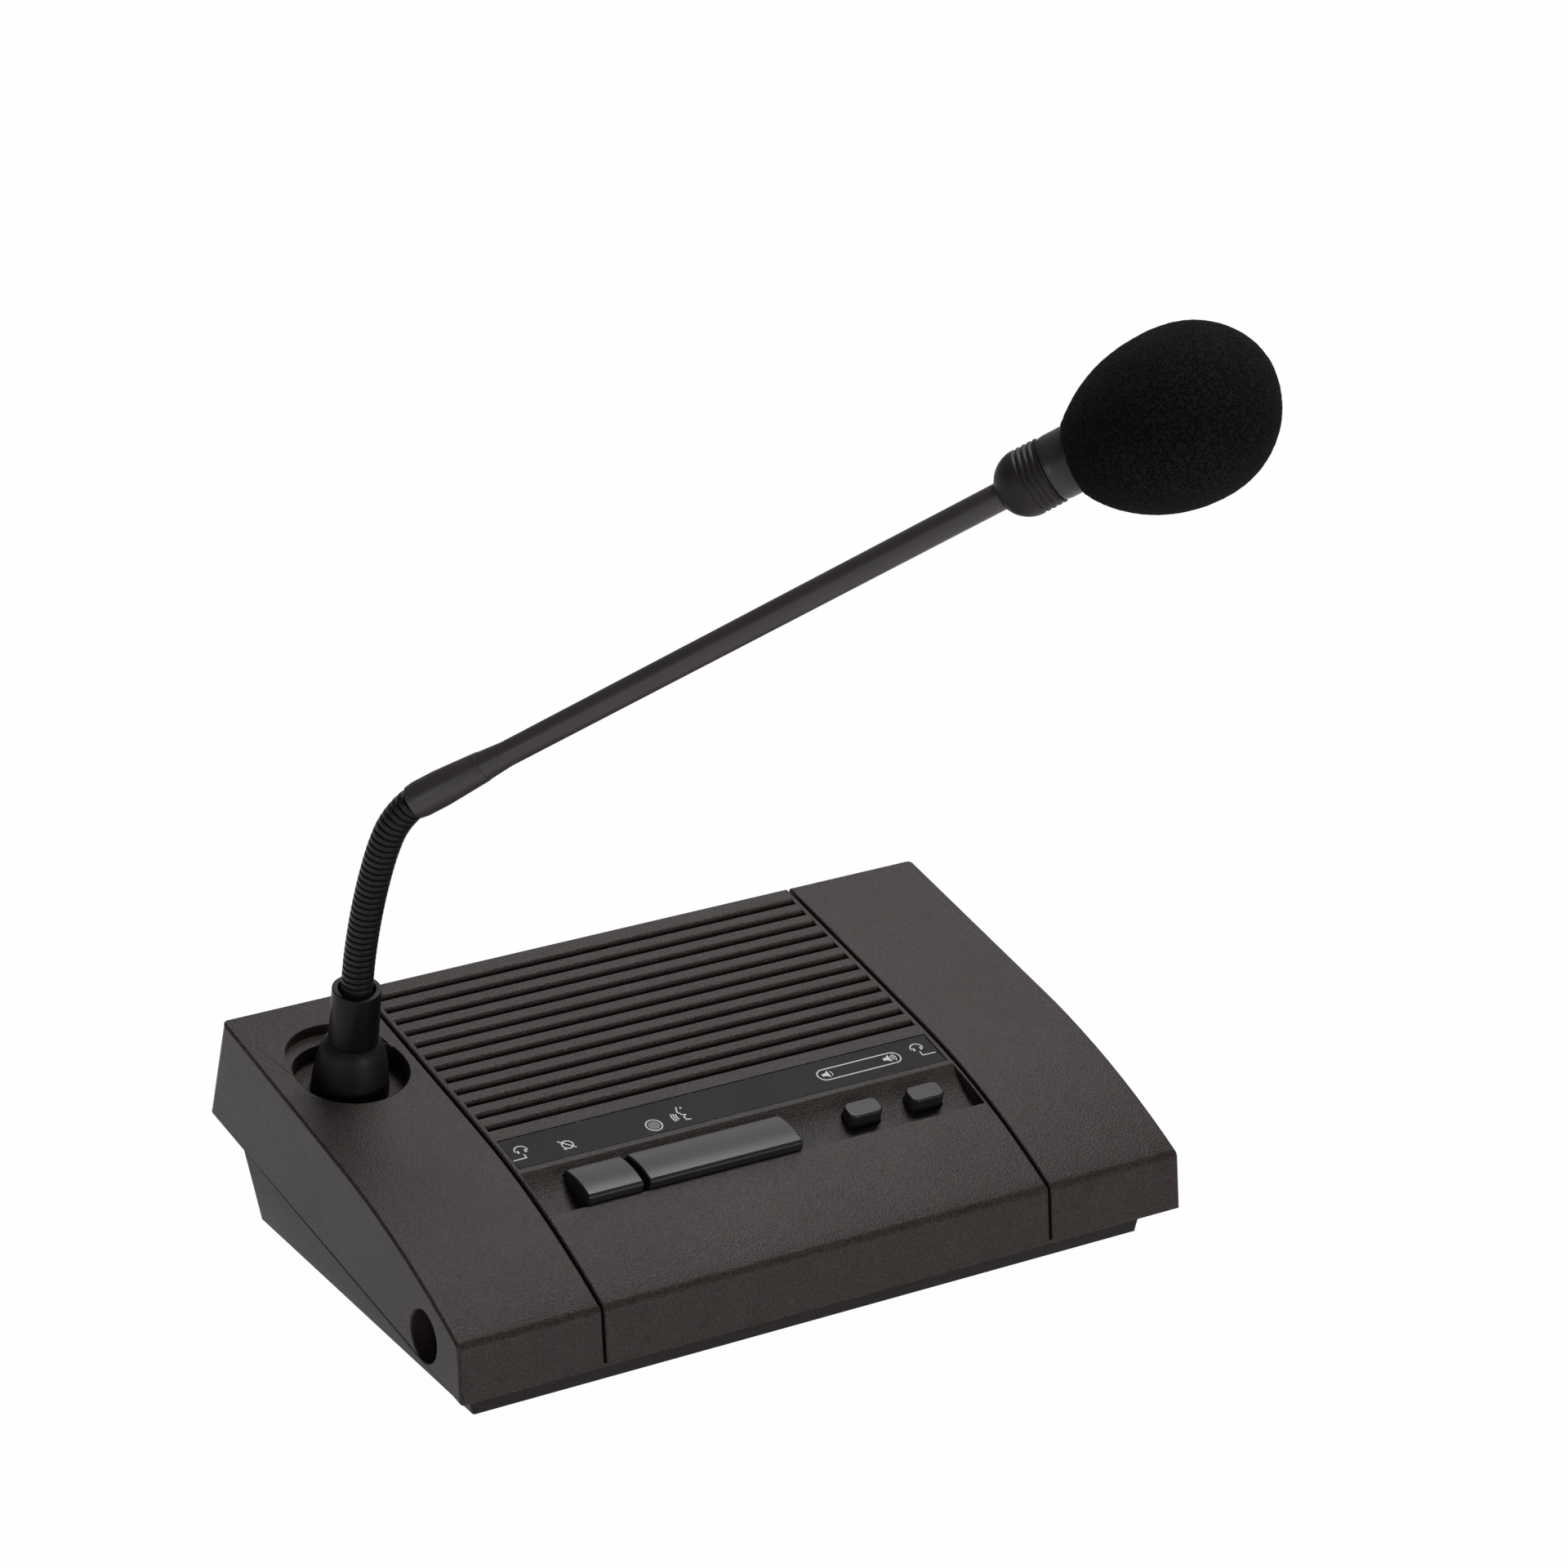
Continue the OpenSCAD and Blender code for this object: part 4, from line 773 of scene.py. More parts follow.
def softened(
    node: str, radius_at: Callable[[Vector], float], widest: float, segments: int = 3
) -> bpy.types.Mesh:
    """Copies a node with its outer edges rounded.

    Args:
        node: The node of the frame.
        radius_at: Gives the rounding of a convex edge from its middle.
        widest: The largest rounding.
        segments: Number of sides of a rounding.

    Returns:
        The rounded mesh.
    """
    made = bmesh.new()
    made.from_mesh(frame["nodes"][node].data)
    bmesh.ops.remove_doubles(made, verts=made.verts, dist=WELD)
    bmesh.ops.dissolve_limit(made, angle_limit=FLAT_ANGLE, verts=made.verts, edges=made.edges)
    many_sided = [face for face in made.faces if len(face.verts) > 4]
    bmesh.ops.connect_verts_concave(made, faces=many_sided)
    weights = made.edges.layers.float.new("bevel_weight_edge")
    for edge in made.edges:
        crisp = len(edge.link_faces) == 2 and edge.calc_face_angle(0.0) > EDGE_ANGLE
        width = 0.0
        if crisp and edge.is_convex:
            width = radius_at((edge.verts[0].co + edge.verts[1].co) / 2)
        edge[weights] = width / widest
        edge.smooth = not crisp or width > 0
    mesh = bpy.data.meshes.new("copy")
    made.to_mesh(mesh)
    made.free()
    if "custom_normal" in mesh.attributes:
        mesh.attributes.remove(mesh.attributes["custom_normal"])
    for face in mesh.polygons:
        face.use_smooth = True
    holder = bpy.data.objects.new("holder", mesh)
    bpy.context.scene.collection.objects.link(holder)
    bevel = holder.modifiers.new("rounding", "BEVEL")
    bevel.limit_method = "WEIGHT"
    bevel.width = widest
    bevel.segments = segments
    bevel.use_clamp_overlap = False
    bevel.miter_outer = "MITER_ARC"
    bpy.context.view_layer.update()
    graph = bpy.context.evaluated_depsgraph_get()
    result = bpy.data.meshes.new_from_object(
        holder.evaluated_get(graph), preserve_all_data_layers=True, depsgraph=graph
    )
    bpy.data.objects.remove(holder)
    settle_shading(result)
    return result


def settle_shading(mesh: bpy.types.Mesh) -> None:
    """Lets the large faces set the shading where they meet small ones smoothly.

    Args:
        mesh: The mesh, which gets its own normals.
    """
    made = bmesh.new()
    made.from_mesh(mesh)
    made.faces.ensure_lookup_table()
    weighted = [face.normal * face.calc_area() for face in made.faces]
    places = {}
    for face, polygon in zip(made.faces, mesh.polygons):
        places.update({loop: polygon.loop_start + k for k, loop in enumerate(face.loops)})
    normals = [Vector((0, 0, 1))] * len(mesh.loops)
    for vertex in made.verts:
        left = set(vertex.link_loops)
        while left:
            fan = [left.pop()]
            for loop in fan:
                for edge in (loop.edge, loop.link_loop_prev.edge):
                    beside = [
                        near for near in left if edge.smooth and near.face in edge.link_faces
                    ]
                    left.difference_update(beside)
                    fan += beside
            total = sum((weighted[loop.face.index] for loop in fan), Vector())
            for loop in fan:
                normals[places[loop]] = total.normalized()
    made.free()
    mesh.normals_split_custom_set(normals)


@dataclass(frozen=True)
class CaseShape:
    """The skin of the case: a flat slope behind, rounded over towards the front.

    Fields:
        width, depth: Size of the lower edge.
        rear_top, rear_rim, front_rim: Heights of the rear top edge and of the lower edge.
        rear_lean, front_lean, side_draft: How far the walls draw in at their tops.
        slope: Slope of the flat part.
        crown_y, crown_radius: Start and radius of the rounded part.
    """

    width: float = 205 * MM
    depth: float = 138 * MM
    rear_top: float = 56.3 * MM
    rear_rim: float = 27.9 * MM
    front_rim: float = 9.7 * MM
    rear_lean: float = 8.4 * MM
    front_lean: float = 1.5 * MM
    side_draft: float = 0.7 * MM
    slope: float = math.radians(10)
    crown_y: float = -5.6 * MM
    crown_radius: float = 232 * MM

    def flat(self, y: float) -> float:
        """Is the height of the flat part, carried on at its slope."""
        return self.rear_top - (self.depth / 2 - self.rear_lean - y) * math.tan(self.slope)

    def slope_at(self, y: float) -> float:
        """Is the slope of the top.

        Args:
            y: Place from front to back.

        Returns:
            The slope, in radians.
        """
        if y >= self.crown_y:
            return self.slope
        centre = self.crown_y + self.crown_radius * math.sin(self.slope)
        return math.asin((centre - y) / self.crown_radius)

    def top(self, y: float) -> float:
        """Is the height of the top.

        Args:
            y: Place from front to back.

        Returns:
            The height over the desk.
        """
        if y >= self.crown_y:
            return self.flat(y)
        drop = math.cos(self.slope_at(y)) - math.cos(self.slope)
        return self.flat(self.crown_y) + self.crown_radius * drop

    def front_top(self) -> float:
        """Is the height at which the front wall meets the top."""
        return self.top(self.front_lean - self.depth / 2)

    def on_top(self, x: float, y: float) -> Matrix:
        """Is a place on the top, with Z along its outward normal and Y up the slope."""
        spot = Matrix.Translation((x, y, self.top(y)))
        return spot @ Matrix.Rotation(self.slope_at(y), 4, "X")

    def faces_at(self, spot: Vector, within: float = 60 * UM) -> set[str]:
        """Names the outer faces that a point lies on.

        Args:
            spot: The point.
            within: How near it has to be.

        Returns:
            Any of top, side, front, rear and rim.
        """
        rise = (spot.z - self.front_rim) / (self.rear_top - self.front_rim)
        front_rise = (spot.z - self.front_rim) / (self.front_top() - self.front_rim)
        rear_rise = (spot.z - self.rear_rim) / (self.rear_top - self.rear_rim)
        rim_rise = (spot.y + self.depth / 2) / self.depth
        off = {
            "top": spot.z - self.top(spot.y),
            "side": abs(spot.x) - self.width / 2 + self.side_draft * rise,
            "front": spot.y + self.depth / 2 - self.front_lean * front_rise,
            "rear": spot.y - self.depth / 2 + self.rear_lean * rear_rise,
            "rim": spot.z - self.front_rim - (self.rear_rim - self.front_rim) * rim_rise,
        }
        return {name for name, distance in off.items() if abs(distance) < within}


SHAPE = CaseShape()


@dataclass
class Case:
    """The moulded shells: cover, centre panel and tub, with their fittings.

    Fields:
        edge_*: Roundings of the outer edges.
        lip, lip_depth: Height and depth of the zone in which panel and cover meet at the front.
        closing: How far the panel reaches down there, to meet the cover closely.
        seam, slot, bed: Roundings along the seams, the slots and the strip's bed.
        well, well_r, well_depth: Rounding, radius and depth of the neck's well.
        step_r, step_back: Radius of the level step behind the well, and how far back it sits.
        panel_half: Half the width of the centre panel.
        strip_reach: Half depth of the strip's bed.
        tub_edge, tub_corner: Roundings of the tub's lower rim and of its corners.
        tub_floor, tub_half, tub_front, tub_rear: Where the tub's underside lies and ends.
    """

    edge_front: float = 1.8 * MM
    edge_side: float = 0.8 * MM
    edge_rear: float = 1.0 * MM
    edge_corner: float = 1.0 * MM
    edge_rear_corner: float = 2.6 * MM
    edge_rim: float = 0.4 * MM
    edge_rear_rim: float = 1.2 * MM
    edge_front_rim: float = 0.12 * MM
    lip: float = 11.6 * MM
    seam: float = 0.6 * MM
    closing: float = 0.68 * MM
    lip_depth: float = 5 * MM
    slot: float = 0.2 * MM
    bed: float = 0.1 * MM
    well: float = 0.4 * MM
    well_r: float = 15 * MM
    well_depth: float = 5.5 * MM
    step_r: float = 13.8 * MM
    step_back: float = 6.5 * MM
    panel_half: float = 63.15 * MM
    strip_reach: float = 6.2 * MM
    tub_edge: float = 0.4 * MM
    tub_corner: float = 1.4 * MM
    tub_floor: float = 1.2 * MM
    tub_half: float = 95.1 * MM
    tub_front: float = -60.8 * MM
    tub_rear: float = 55.3 * MM

    def outer_radius(self, spot: Vector) -> float:
        """Is the rounding where two outer faces meet, or 0.

        Args:
            spot: Middle of the edge.

        Returns:
            The rounding.
        """
        faces = SHAPE.faces_at(spot)
        for pair, radius in (
            ({"top", "front"}, self.edge_front),
            ({"top", "rear"}, self.edge_rear),
            ({"top", "side"}, self.edge_side),
            ({"side", "front"}, self.edge_corner),
            ({"side", "rear"}, self.edge_rear_corner),
            ({"rim", "rear"}, self.edge_rear_rim),
            ({"rim", "front"}, self.edge_front_rim),
        ):
            if pair <= faces:
                return radius
        if faces == {"front"} and spot.z < self.lip:
            return 0.0
        if "rim" in faces and len(faces) > 1:
            return self.edge_rim
        return self.seam if faces else 0.0

    def cover_radius(self, spot: Vector) -> float:
        """Is the rounding of an edge of the cover.

        Args:
            spot: Middle of the edge.

        Returns:
            The rounding, or 0 where the edge stays crisp.
        """
        x, y = spot.x - NECK_AT[0], spot.y - NECK_AT[1]
        from_well, from_step = math.hypot(x, y), math.hypot(x, y - self.step_back)
        sunk = SHAPE.top(spot.y) - spot.z
        near = from_well < self.well_r or from_step < self.step_r
        if near and -UM < sunk < self.well_depth and from_well > self.well_r / 2:
            return self.well
        return self.outer_radius(spot)

    def panel_radius(self, spot: Vector) -> float:
        """Is the rounding of an edge of the centre panel.

        Args:
            spot: Middle of the edge.

        Returns:
            The rounding, or 0 where the edge stays crisp.
        """
        radius = self.outer_radius(spot)
        inside = abs(spot.x) < self.panel_half - self.seam
        if radius == self.seam and inside and "top" in SHAPE.faces_at(spot):
            in_bed = abs(spot.y - STRIP_Y) < self.strip_reach
            return self.bed if in_bed else self.slot
        return radius

    def close_front(self, mesh: bpy.types.Mesh) -> None:
        """Brings the panel's lower front edge down to the cover's lip.

        Args:
            mesh: The panel's mesh.
        """
        lean = SHAPE.front_lean / (SHAPE.front_top() - SHAPE.front_rim)
        for vertex in mesh.vertices:
            if vertex.co.z < self.lip and vertex.co.y < self.lip_depth - SHAPE.depth / 2:
                vertex.co -= Vector((0, lean * self.closing, self.closing))

    def tub_radius(self, spot: Vector) -> float:
        """Is the rounding of an edge of the tub: its floor's rim and its corners.

        Args:
            spot: Middle of the edge.

        Returns:
            The rounding, or 0 where the edge stays crisp.
        """
        at_side = abs(spot.x) > self.tub_half - NEAR
        at_end = spot.y > self.tub_rear - NEAR or spot.y < self.tub_front + NEAR
        if spot.z < self.tub_floor + NEAR:
            return self.tub_edge if at_side or at_end else 0.0
        return self.tub_corner if at_side and at_end else 0.0

    def build(self) -> None:
        """Builds the shells and dresses what is fitted to them."""
        for name, node, finish, radius_at, widest in (
            ("cover_shell", "top_cover", CASE, self.cover_radius, self.edge_rear_corner),
            ("panel_shell", "centre_panel", CASE, self.panel_radius, self.edge_front),
            ("tub_shell", "bottom_tub", TUB_PAINTED_SHADE, self.tub_radius, self.tub_corner),
        ):
            mesh = softened(node, radius_at, widest)
            if node == "centre_panel":
                self.close_front(mesh)
            add_piece(name, mesh, finish, Body.BASE, [node])
        dress(RUBBER, "rubber_feet")
        dress(STEEL, "case_screws", "panel_screws", "board_screws", "speaker_screws")
        dress(JACK, "left_jack", "right_jack", "link_socket_in", "link_socket_out")
        dress(NICKEL, "left_jack_nut", "right_jack_nut")


@dataclass
class Innards:
    """What sits inside the case and the head, as the frame has it.

    Fields:
        finishes: The finish of each inner node.
    """

    finishes: Mapping[str, Finish] = field(default_factory=lambda: {
        "grille_cloth": CLOTH,
        "main_board": BOARD,
        "board_components": CHIPS,
        "switch_housings": CHIPS,
        "speaker_gasket": GASKET,
        "speaker_basket": BASKET,
        "speaker_cone": CONE,
        "speaker_magnet": MAGNET,
        "neck_bush": NICKEL,
        "neck_washer": STEEL,
        "neck_nut": STEEL,
        "mic_lead": LEAD,
        "speaker_lead": LEAD,
        "status_led": LAMP,
        "talk_plunger": PLUNGER,
        "mute_plunger": PLUNGER,
        "volume_down_plunger": PLUNGER,
        "volume_up_plunger": PLUNGER,
        "capsule": CAPSULE,
        "capsule_guard": NICKEL,
    })

    def build(self) -> None:
        """Dresses every inner node."""
        for node, finish in self.finishes.items():
            dress(finish, node)


@dataclass
class KeyBank:
    """The four keys, with rounded edges.

    Fields:
        wide_edge, wide_front: Roundings of the talk and mute keys, and of their front edge.
        small_edge: Rounding of the volume keys' tops.
        wide_sides, small_sides: Number of sides of a rounding.
        trough_y: Place of the trough that the keys stand in.
        front: Front of the wide keys, from the trough's middle.
        shown: How far down the keys show.
    """

    wide_edge: float = 0.5 * MM
    wide_front: float = 0.9 * MM
    small_edge: float = 0.55 * MM
    wide_sides: int = 4
    small_sides: int = 5
    trough_y: float = -31.2 * MM
    front: float = -7.7 * MM
    shown: float = 5 * MM

    def in_trough(self, spot: Vector) -> Vector:
        """Is a point in the trough's own frame."""
        return SHAPE.on_top(0, self.trough_y).inverted() @ spot

    def wide_radius(self, spot: Vector) -> float:
        """Is the rounding of an edge of the talk or mute key.

        Args:
            spot: Middle of the edge.

        Returns:
            The rounding, or 0 where the edge stays crisp.
        """
        local = self.in_trough(spot)
        if local.z < -self.shown:
            return 0.0
        at_front = local.y < self.front + NEAR and local.z > 0
        return self.wide_front if at_front else self.wide_edge

    def small_radius(self, spot: Vector) -> float:
        """Is the rounding of an edge of a volume key."""
        return self.small_edge if self.in_trough(spot).z > 0 else 0.0

    def build(self) -> None:
        """Builds the four keys."""
        wide = (self.wide_radius, self.wide_front, self.wide_sides)
        small = (self.small_radius, self.small_edge, self.small_sides)
        for name, body, edges in (
            ("talk", Body.TALK, wide),
            ("mute", Body.MUTE, wide),
            ("volume_down", Body.VOLUME_DOWN, small),
            ("volume_up", Body.VOLUME_UP, small),
        ):
            mesh = softened(f"{name}_button", *edges)
            add_piece(f"{name}_keytop", mesh, KEY, body, [f"{name}_button"])


@dataclass
class Print:
    """Printed marks, drawn in the plane of the strip in millimetres; ink lies over ink.

    Fields:
        ink: Thickness of the ink.
        layers: How many marks rise by that thickness, where they lie over one another.
        foot: Where the ink starts over the film, as a share of its thickness.
        mitre: Keeps a sharp bend from widening a line to more than 1 / mitre of its width.
        arc_step, arc_least: Degrees of a side of an arc, and the fewest sides.
    """

    ink: float
    layers: int = 20
    foot: float = 0.1
    mitre: float = 0.5
    arc_step: float = 8.0
    arc_least: int = 8

    def __post_init__(self) -> None:
        """Starts an empty sheet."""
        self.sheet = bmesh.new()
        self.level = self.ink

    def line(self, points: Sequence[Point2], width: float, closed: bool = False) -> None:
        """Draws a line of even width.

        Args:
            points: The points that it follows.
            width: Its width.
            closed: Whether it ends where it starts.
        """
        path = [Vector(p) for p in points]
        count = len(path)
        pairs = []
        for index, spot in enumerate(path):
            before = path[index - 1] if index or closed else spot
            after = path[(index + 1) % count] if index < count - 1 or closed else spot
            into, away = (spot - before), (after - spot)
            into = into.normalized() if into.length else away.normalized()
            away = away.normalized() if away.length else into
            side = (into + away).normalized().orthogonal()
            stretch = max(self.mitre, side.dot(into.orthogonal()))
            offset = side * (width / 2 / stretch)
            edges = (spot + offset, spot - offset)
            pairs.append([self.sheet.verts.new((*edge, self.level)) for edge in edges])
        following = pairs[1:] + (pairs[:1] if closed else [])
        for one, two in zip(pairs, following):
            self.sheet.faces.new((one[0], one[1], two[1], two[0]))
        self.level += self.ink / self.layers

    def patch(self, points: Sequence[Point2]) -> None:
        """Fills a convex outline."""
        self.sheet.faces.new([self.sheet.verts.new((x, y, self.level)) for x, y in points])
        self.level += self.ink / self.layers

    def arc(self, at: Point2, radius: float, start: float, end: float, width: float) -> None:
        """Draws an arc.

        Args:
            at: Its centre.
            radius: Its radius.
            start: Where it starts, in degrees.
            end: Where it ends, in degrees.
            width: Width of the line.
        """
        count = max(self.arc_least, round(abs(end - start) / self.arc_step))
        whole = abs(end - start) >= 360
        turns = [
            math.radians(start + (end - start) * step / count)
            for step in range(count if whole else count + 1)
        ]
        points = [(at[0] + radius * math.cos(t), at[1] + radius * math.sin(t)) for t in turns]
        self.line(points, width, closed=whole)

    def ring(self, at: Point2, radius: float, width: float) -> None:
        """Draws a whole circle."""
        self.arc(at, radius, 0, 360, width)

    def block(self, left: float, right: float, low: float, high: float) -> None:
        """Fills an upright rectangle between its four sides."""
        self.patch([(left, low), (right, low), (right, high), (left, high)])

    def mesh(self, at: Matrix) -> bpy.types.Mesh:
        """Is the finished ink, put in its place.

        Args:
            at: The place, with X across and Y up the strip.

        Returns:
            The closed mesh.
        """
        grown = bmesh.ops.extrude_face_region(
            self.sheet, geom=self.sheet.faces[:], use_keep_orig=True
        )
        for vertex in grown["geom"]:
            if isinstance(vertex, bmesh.types.BMVert):
                vertex.co.z = self.foot * self.ink
        bmesh.ops.recalc_face_normals(self.sheet, faces=self.sheet.faces)
        return finished(self.sheet, at @ Matrix.Scale(MM, 4))


@dataclass
class LabelStrip:
    """The film with its printed signs, and the status lens.

    Fields:
        sunk: How far the film's face lies under the top.
        ink, pen: Thickness of the ink and width of the printed lines, in millimetres.
        headphones_left, headphones_right: Places of these signs, in millimetres on the strip.
        cord_left, cord_right: How far under the bands their cords run aside.
        mute_at, talk_at: Places of the crossed microphone and of the speaking head.
        volume_ends, volume_y, volume_half: Ends, middle line and half height of the long frame.
        lens, lens_ring: Place of the status lens and radius of the ring around it, in millimetres.
        lens_r, lens_crown: Radius of the lens where it shows, and how far it stands out.
        foot_r, foot: Radius and end of the lens under the film.
        step, rise, gap: Depth, rise and clearance of the dark surround of the lens.
        brim: How far the surround reaches past the foot of the lens.
    """

    sunk: float = 0.2 * MM
    ink: float = 0.02
    pen: float = 0.35
    headphones_left: Point2 = (-57.7, 0.55)
    headphones_right: Point2 = (56.8, 1.4)
    cord_left: float = 2.92
    cord_right: float = 3.1
    mute_at: Point2 = (-45.85, -1.45)
    talk_at: Point2 = (-13.0, -1.5)
    volume_ends: Point2 = (26.75, 50.95)
    volume_y: float = 0.1
    volume_half: float = 2.1
    lens: Point2 = (-22.0, -2.39)
    lens_ring: float = 2.1
    lens_r: float = 1.55 * MM
    lens_crown: float = 0.03 * MM
    foot_r: float = 2.2 * MM
    foot: float = 6.0 * MM
    step: float = 0.8 * MM
    rise: float = 0.01 * MM
    gap: float = 0.02 * MM
    brim: float = 0.08 * MM

    def headphones(self, at: Point2, side: int, cord: float) -> Print:
        """Draws headphones with a cord that leads to the near side.

        Args:
            at: Middle of the band.
            side: -1 for the left end of the strip, 1 for the right.
            cord: How far down the cord starts to run aside.

        Returns:
            The drawn sign.
        """
        x, y = at
        band, past, ear_near, ear_far, ear_low, ear_high = 1.7, 8, 0.75, 1.3, 0.95, 0.15
        cord_start, cord_reach, cord_drop = 1.5, 3.7, 0.1
        made = Print(self.ink)
        made.arc(at, band, -past, 180 + past, self.pen)
        for ear in (-1, 1):
            left, right = sorted((x + ear * ear_near, x + ear * ear_far))
            made.block(left, right, y - ear_low, y + ear_high)
        end = (x + side * cord_reach, y - cord - cord_drop)
        made.line([(x, y - cord_start), (x, y - cord), end], self.pen)
        return made

    def crossed_microphone(self, at: Point2) -> Print:
        """Draws a microphone with a stroke across it.

        Args:
            at: Its middle.

        Returns:
            The drawn sign.
        """
        x, y = at
        capsule = 1.45
        stroke, foot = ((-1.9, 1.9), (1.75, -1.65)), ((-1.65, -1.15), (-1.05, -1.75))
        made = Print(self.ink)
        made.ring(at, capsule, self.pen)
        for mark in (stroke, foot):
            made.line([(x + across, y + up) for across, up in mark], self.pen)
        return made

    def talking(self, at: Point2) -> Print:
        """Draws a speaker's profile with three waves of sound.

        Args:
            at: Middle of the mouth.

        Returns:
            The drawn sign.
        """
        x, y = at
        mouth, waves = 0.05, ((2.1, 30), (2.75, 29), (3.4, 27))
        eye, eye_r, eye_pen = (0.58, 2.9), 0.16, 0.3
        profile = (
            (-0.4, 3.58), (-1.1, 1.6), (-0.6, 0.95), (-0.5, 0.45), (0.45, 0.1),
            (-0.4, -0.7), (-0.15, -1.8), (1.1, -1.9),
        )
        made = Print(self.ink)
        for radius, half in waves:
            made.arc((x + mouth, y), radius, 180 - half, 180 + half, self.pen)
        made.ring((x + eye[0], y + eye[1]), eye_r, eye_pen)
        made.line([(x + across, y + up) for across, up in profile], self.pen)
        return made

    def speaker(self, made: Print, at: Point2, waves: Sequence[float]) -> None:
        """Draws a loudspeaker.

        Args:
            made: The sheet to draw on.
            at: Middle of its back.
            waves: Radii of its waves.
        """
        x, y = at
        back, mouth = 0.5, 1.4
        neck, rim = x + 0.95, x + 1.95
        sound, spread, thin = x + 1.5, 40, 0.7
        made.block(x, neck, y - back, y + back)
        made.patch([(neck, y - back), (rim, y - mouth), (rim, y + mouth), (neck, y + back)])
        for radius in waves:
            made.arc((sound, y), radius, -spread, spread, thin * self.pen)

    def loudness(self) -> Print:
        """Draws a long rounded frame with a quiet and a loud speaker in it.

        Returns:
            The drawn sign.
        """
        (left, right), y, half = self.volume_ends, self.volume_y, self.volume_half
        quiet_at, loud_at = (left + 1.25, y), (right - 4.85, y + 0.1)
        quiet, loud = (1.35,), (1.0, 1.55, 2.1)
        made = Print(self.ink)
        bend_start, bend_end, bend_step = 90, 270, 12
        bends = [math.radians(turn) for turn in range(bend_start, bend_end + 1, bend_step)]
        outline = [(left + half + half * math.cos(a), y + half * math.sin(a)) for a in bends]
        outline += [(right - half - half * math.cos(a), y - half * math.sin(a)) for a in bends]
        made.line(outline, self.pen, closed=True)
        self.speaker(made, quiet_at, quiet)
        self.speaker(made, loud_at, loud)
        return made

    def window(self, face: Matrix) -> None:
        """Builds the status lens, flush with the film, and its dark surround.

        Args:
            face: The place of the film's face.
        """
        at = face @ Matrix.Translation((self.lens[0] * MM, self.lens[1] * MM, 0))
        lens = [
            (0.0, -self.foot), (self.foot_r, -self.foot), (self.foot_r, -self.step),
            (self.lens_r, -self.step), (self.lens_r, 0.0), (0.0, self.lens_crown),
        ]
        add_piece("status_window", lathe(lens, at), LENS, Body.BASE, ["status_lens"])
        inner, outer = self.lens_r + self.gap, self.foot_r + self.brim
        low = self.gap - self.step
        around = [(inner, low), (outer, low), (outer, self.rise), (inner, self.rise)]
        add_piece("status_surround", lathe(around, at), SURROUND, Body.BASE)

    def build(self) -> None:
        """Dresses the film, builds the lens and prints the signs."""
        dress(STRIP, "label_strip")
        face = SHAPE.on_top(0, STRIP_Y) @ Matrix.Translation((0, 0, -self.sunk))
        self.window(face)
        ring = Print(self.ink)
        ring.ring(self.lens, self.lens_ring, self.pen)
        signs = {
            "sign_headphones_left": self.headphones(self.headphones_left, -1, self.cord_left),
            "sign_headphones_right": self.headphones(self.headphones_right, 1, self.cord_right),
            "sign_mute": self.crossed_microphone(self.mute_at),
            "sign_status_ring": ring,
            "sign_talk": self.talking(self.talk_at),
            "sign_volume": self.loudness(),
        }
        for name, sign in signs.items():
            add_piece(name, sign.mesh(face), INK, Body.BASE)


@dataclass
class NeckLine:
    """The line of the neck at rest, from the frame's own joints.

    Fields:
        heading: Direction of the bend, from straight across towards the front.
        bend: Lean of the stem against the collar.
    """

    heading: float = math.radians(31)
    bend: float = math.radians(53)

    def bending_points(self) -> list[Vector]:
        """Are the neck's bending points, from the collar up.

        Returns:
            The points, in the order of the frame's joints.
        """
        return [
            Vector(joint["pos_m"])
            for joint in frame["joints"]
            if joint["name"].startswith(("neck_lean", "neck_sway"))
        ]

    def at_collar(self) -> Matrix:
        """Is the frame of the collar: Z along it, X towards the head."""
        return SHAPE.on_top(*NECK_AT) @ Matrix.Rotation(-self.heading, 4, "Z")

    def at_head(self) -> Matrix:
        """Is the frame of the stem: its origin at the last bending point, Z along it."""
        turn = self.at_collar().to_3x3().to_4x4() @ Matrix.Rotation(self.bend, 4, "Y")
        return Matrix.Translation(self.bending_points()[-1]) @ turn


LINE = NeckLine()


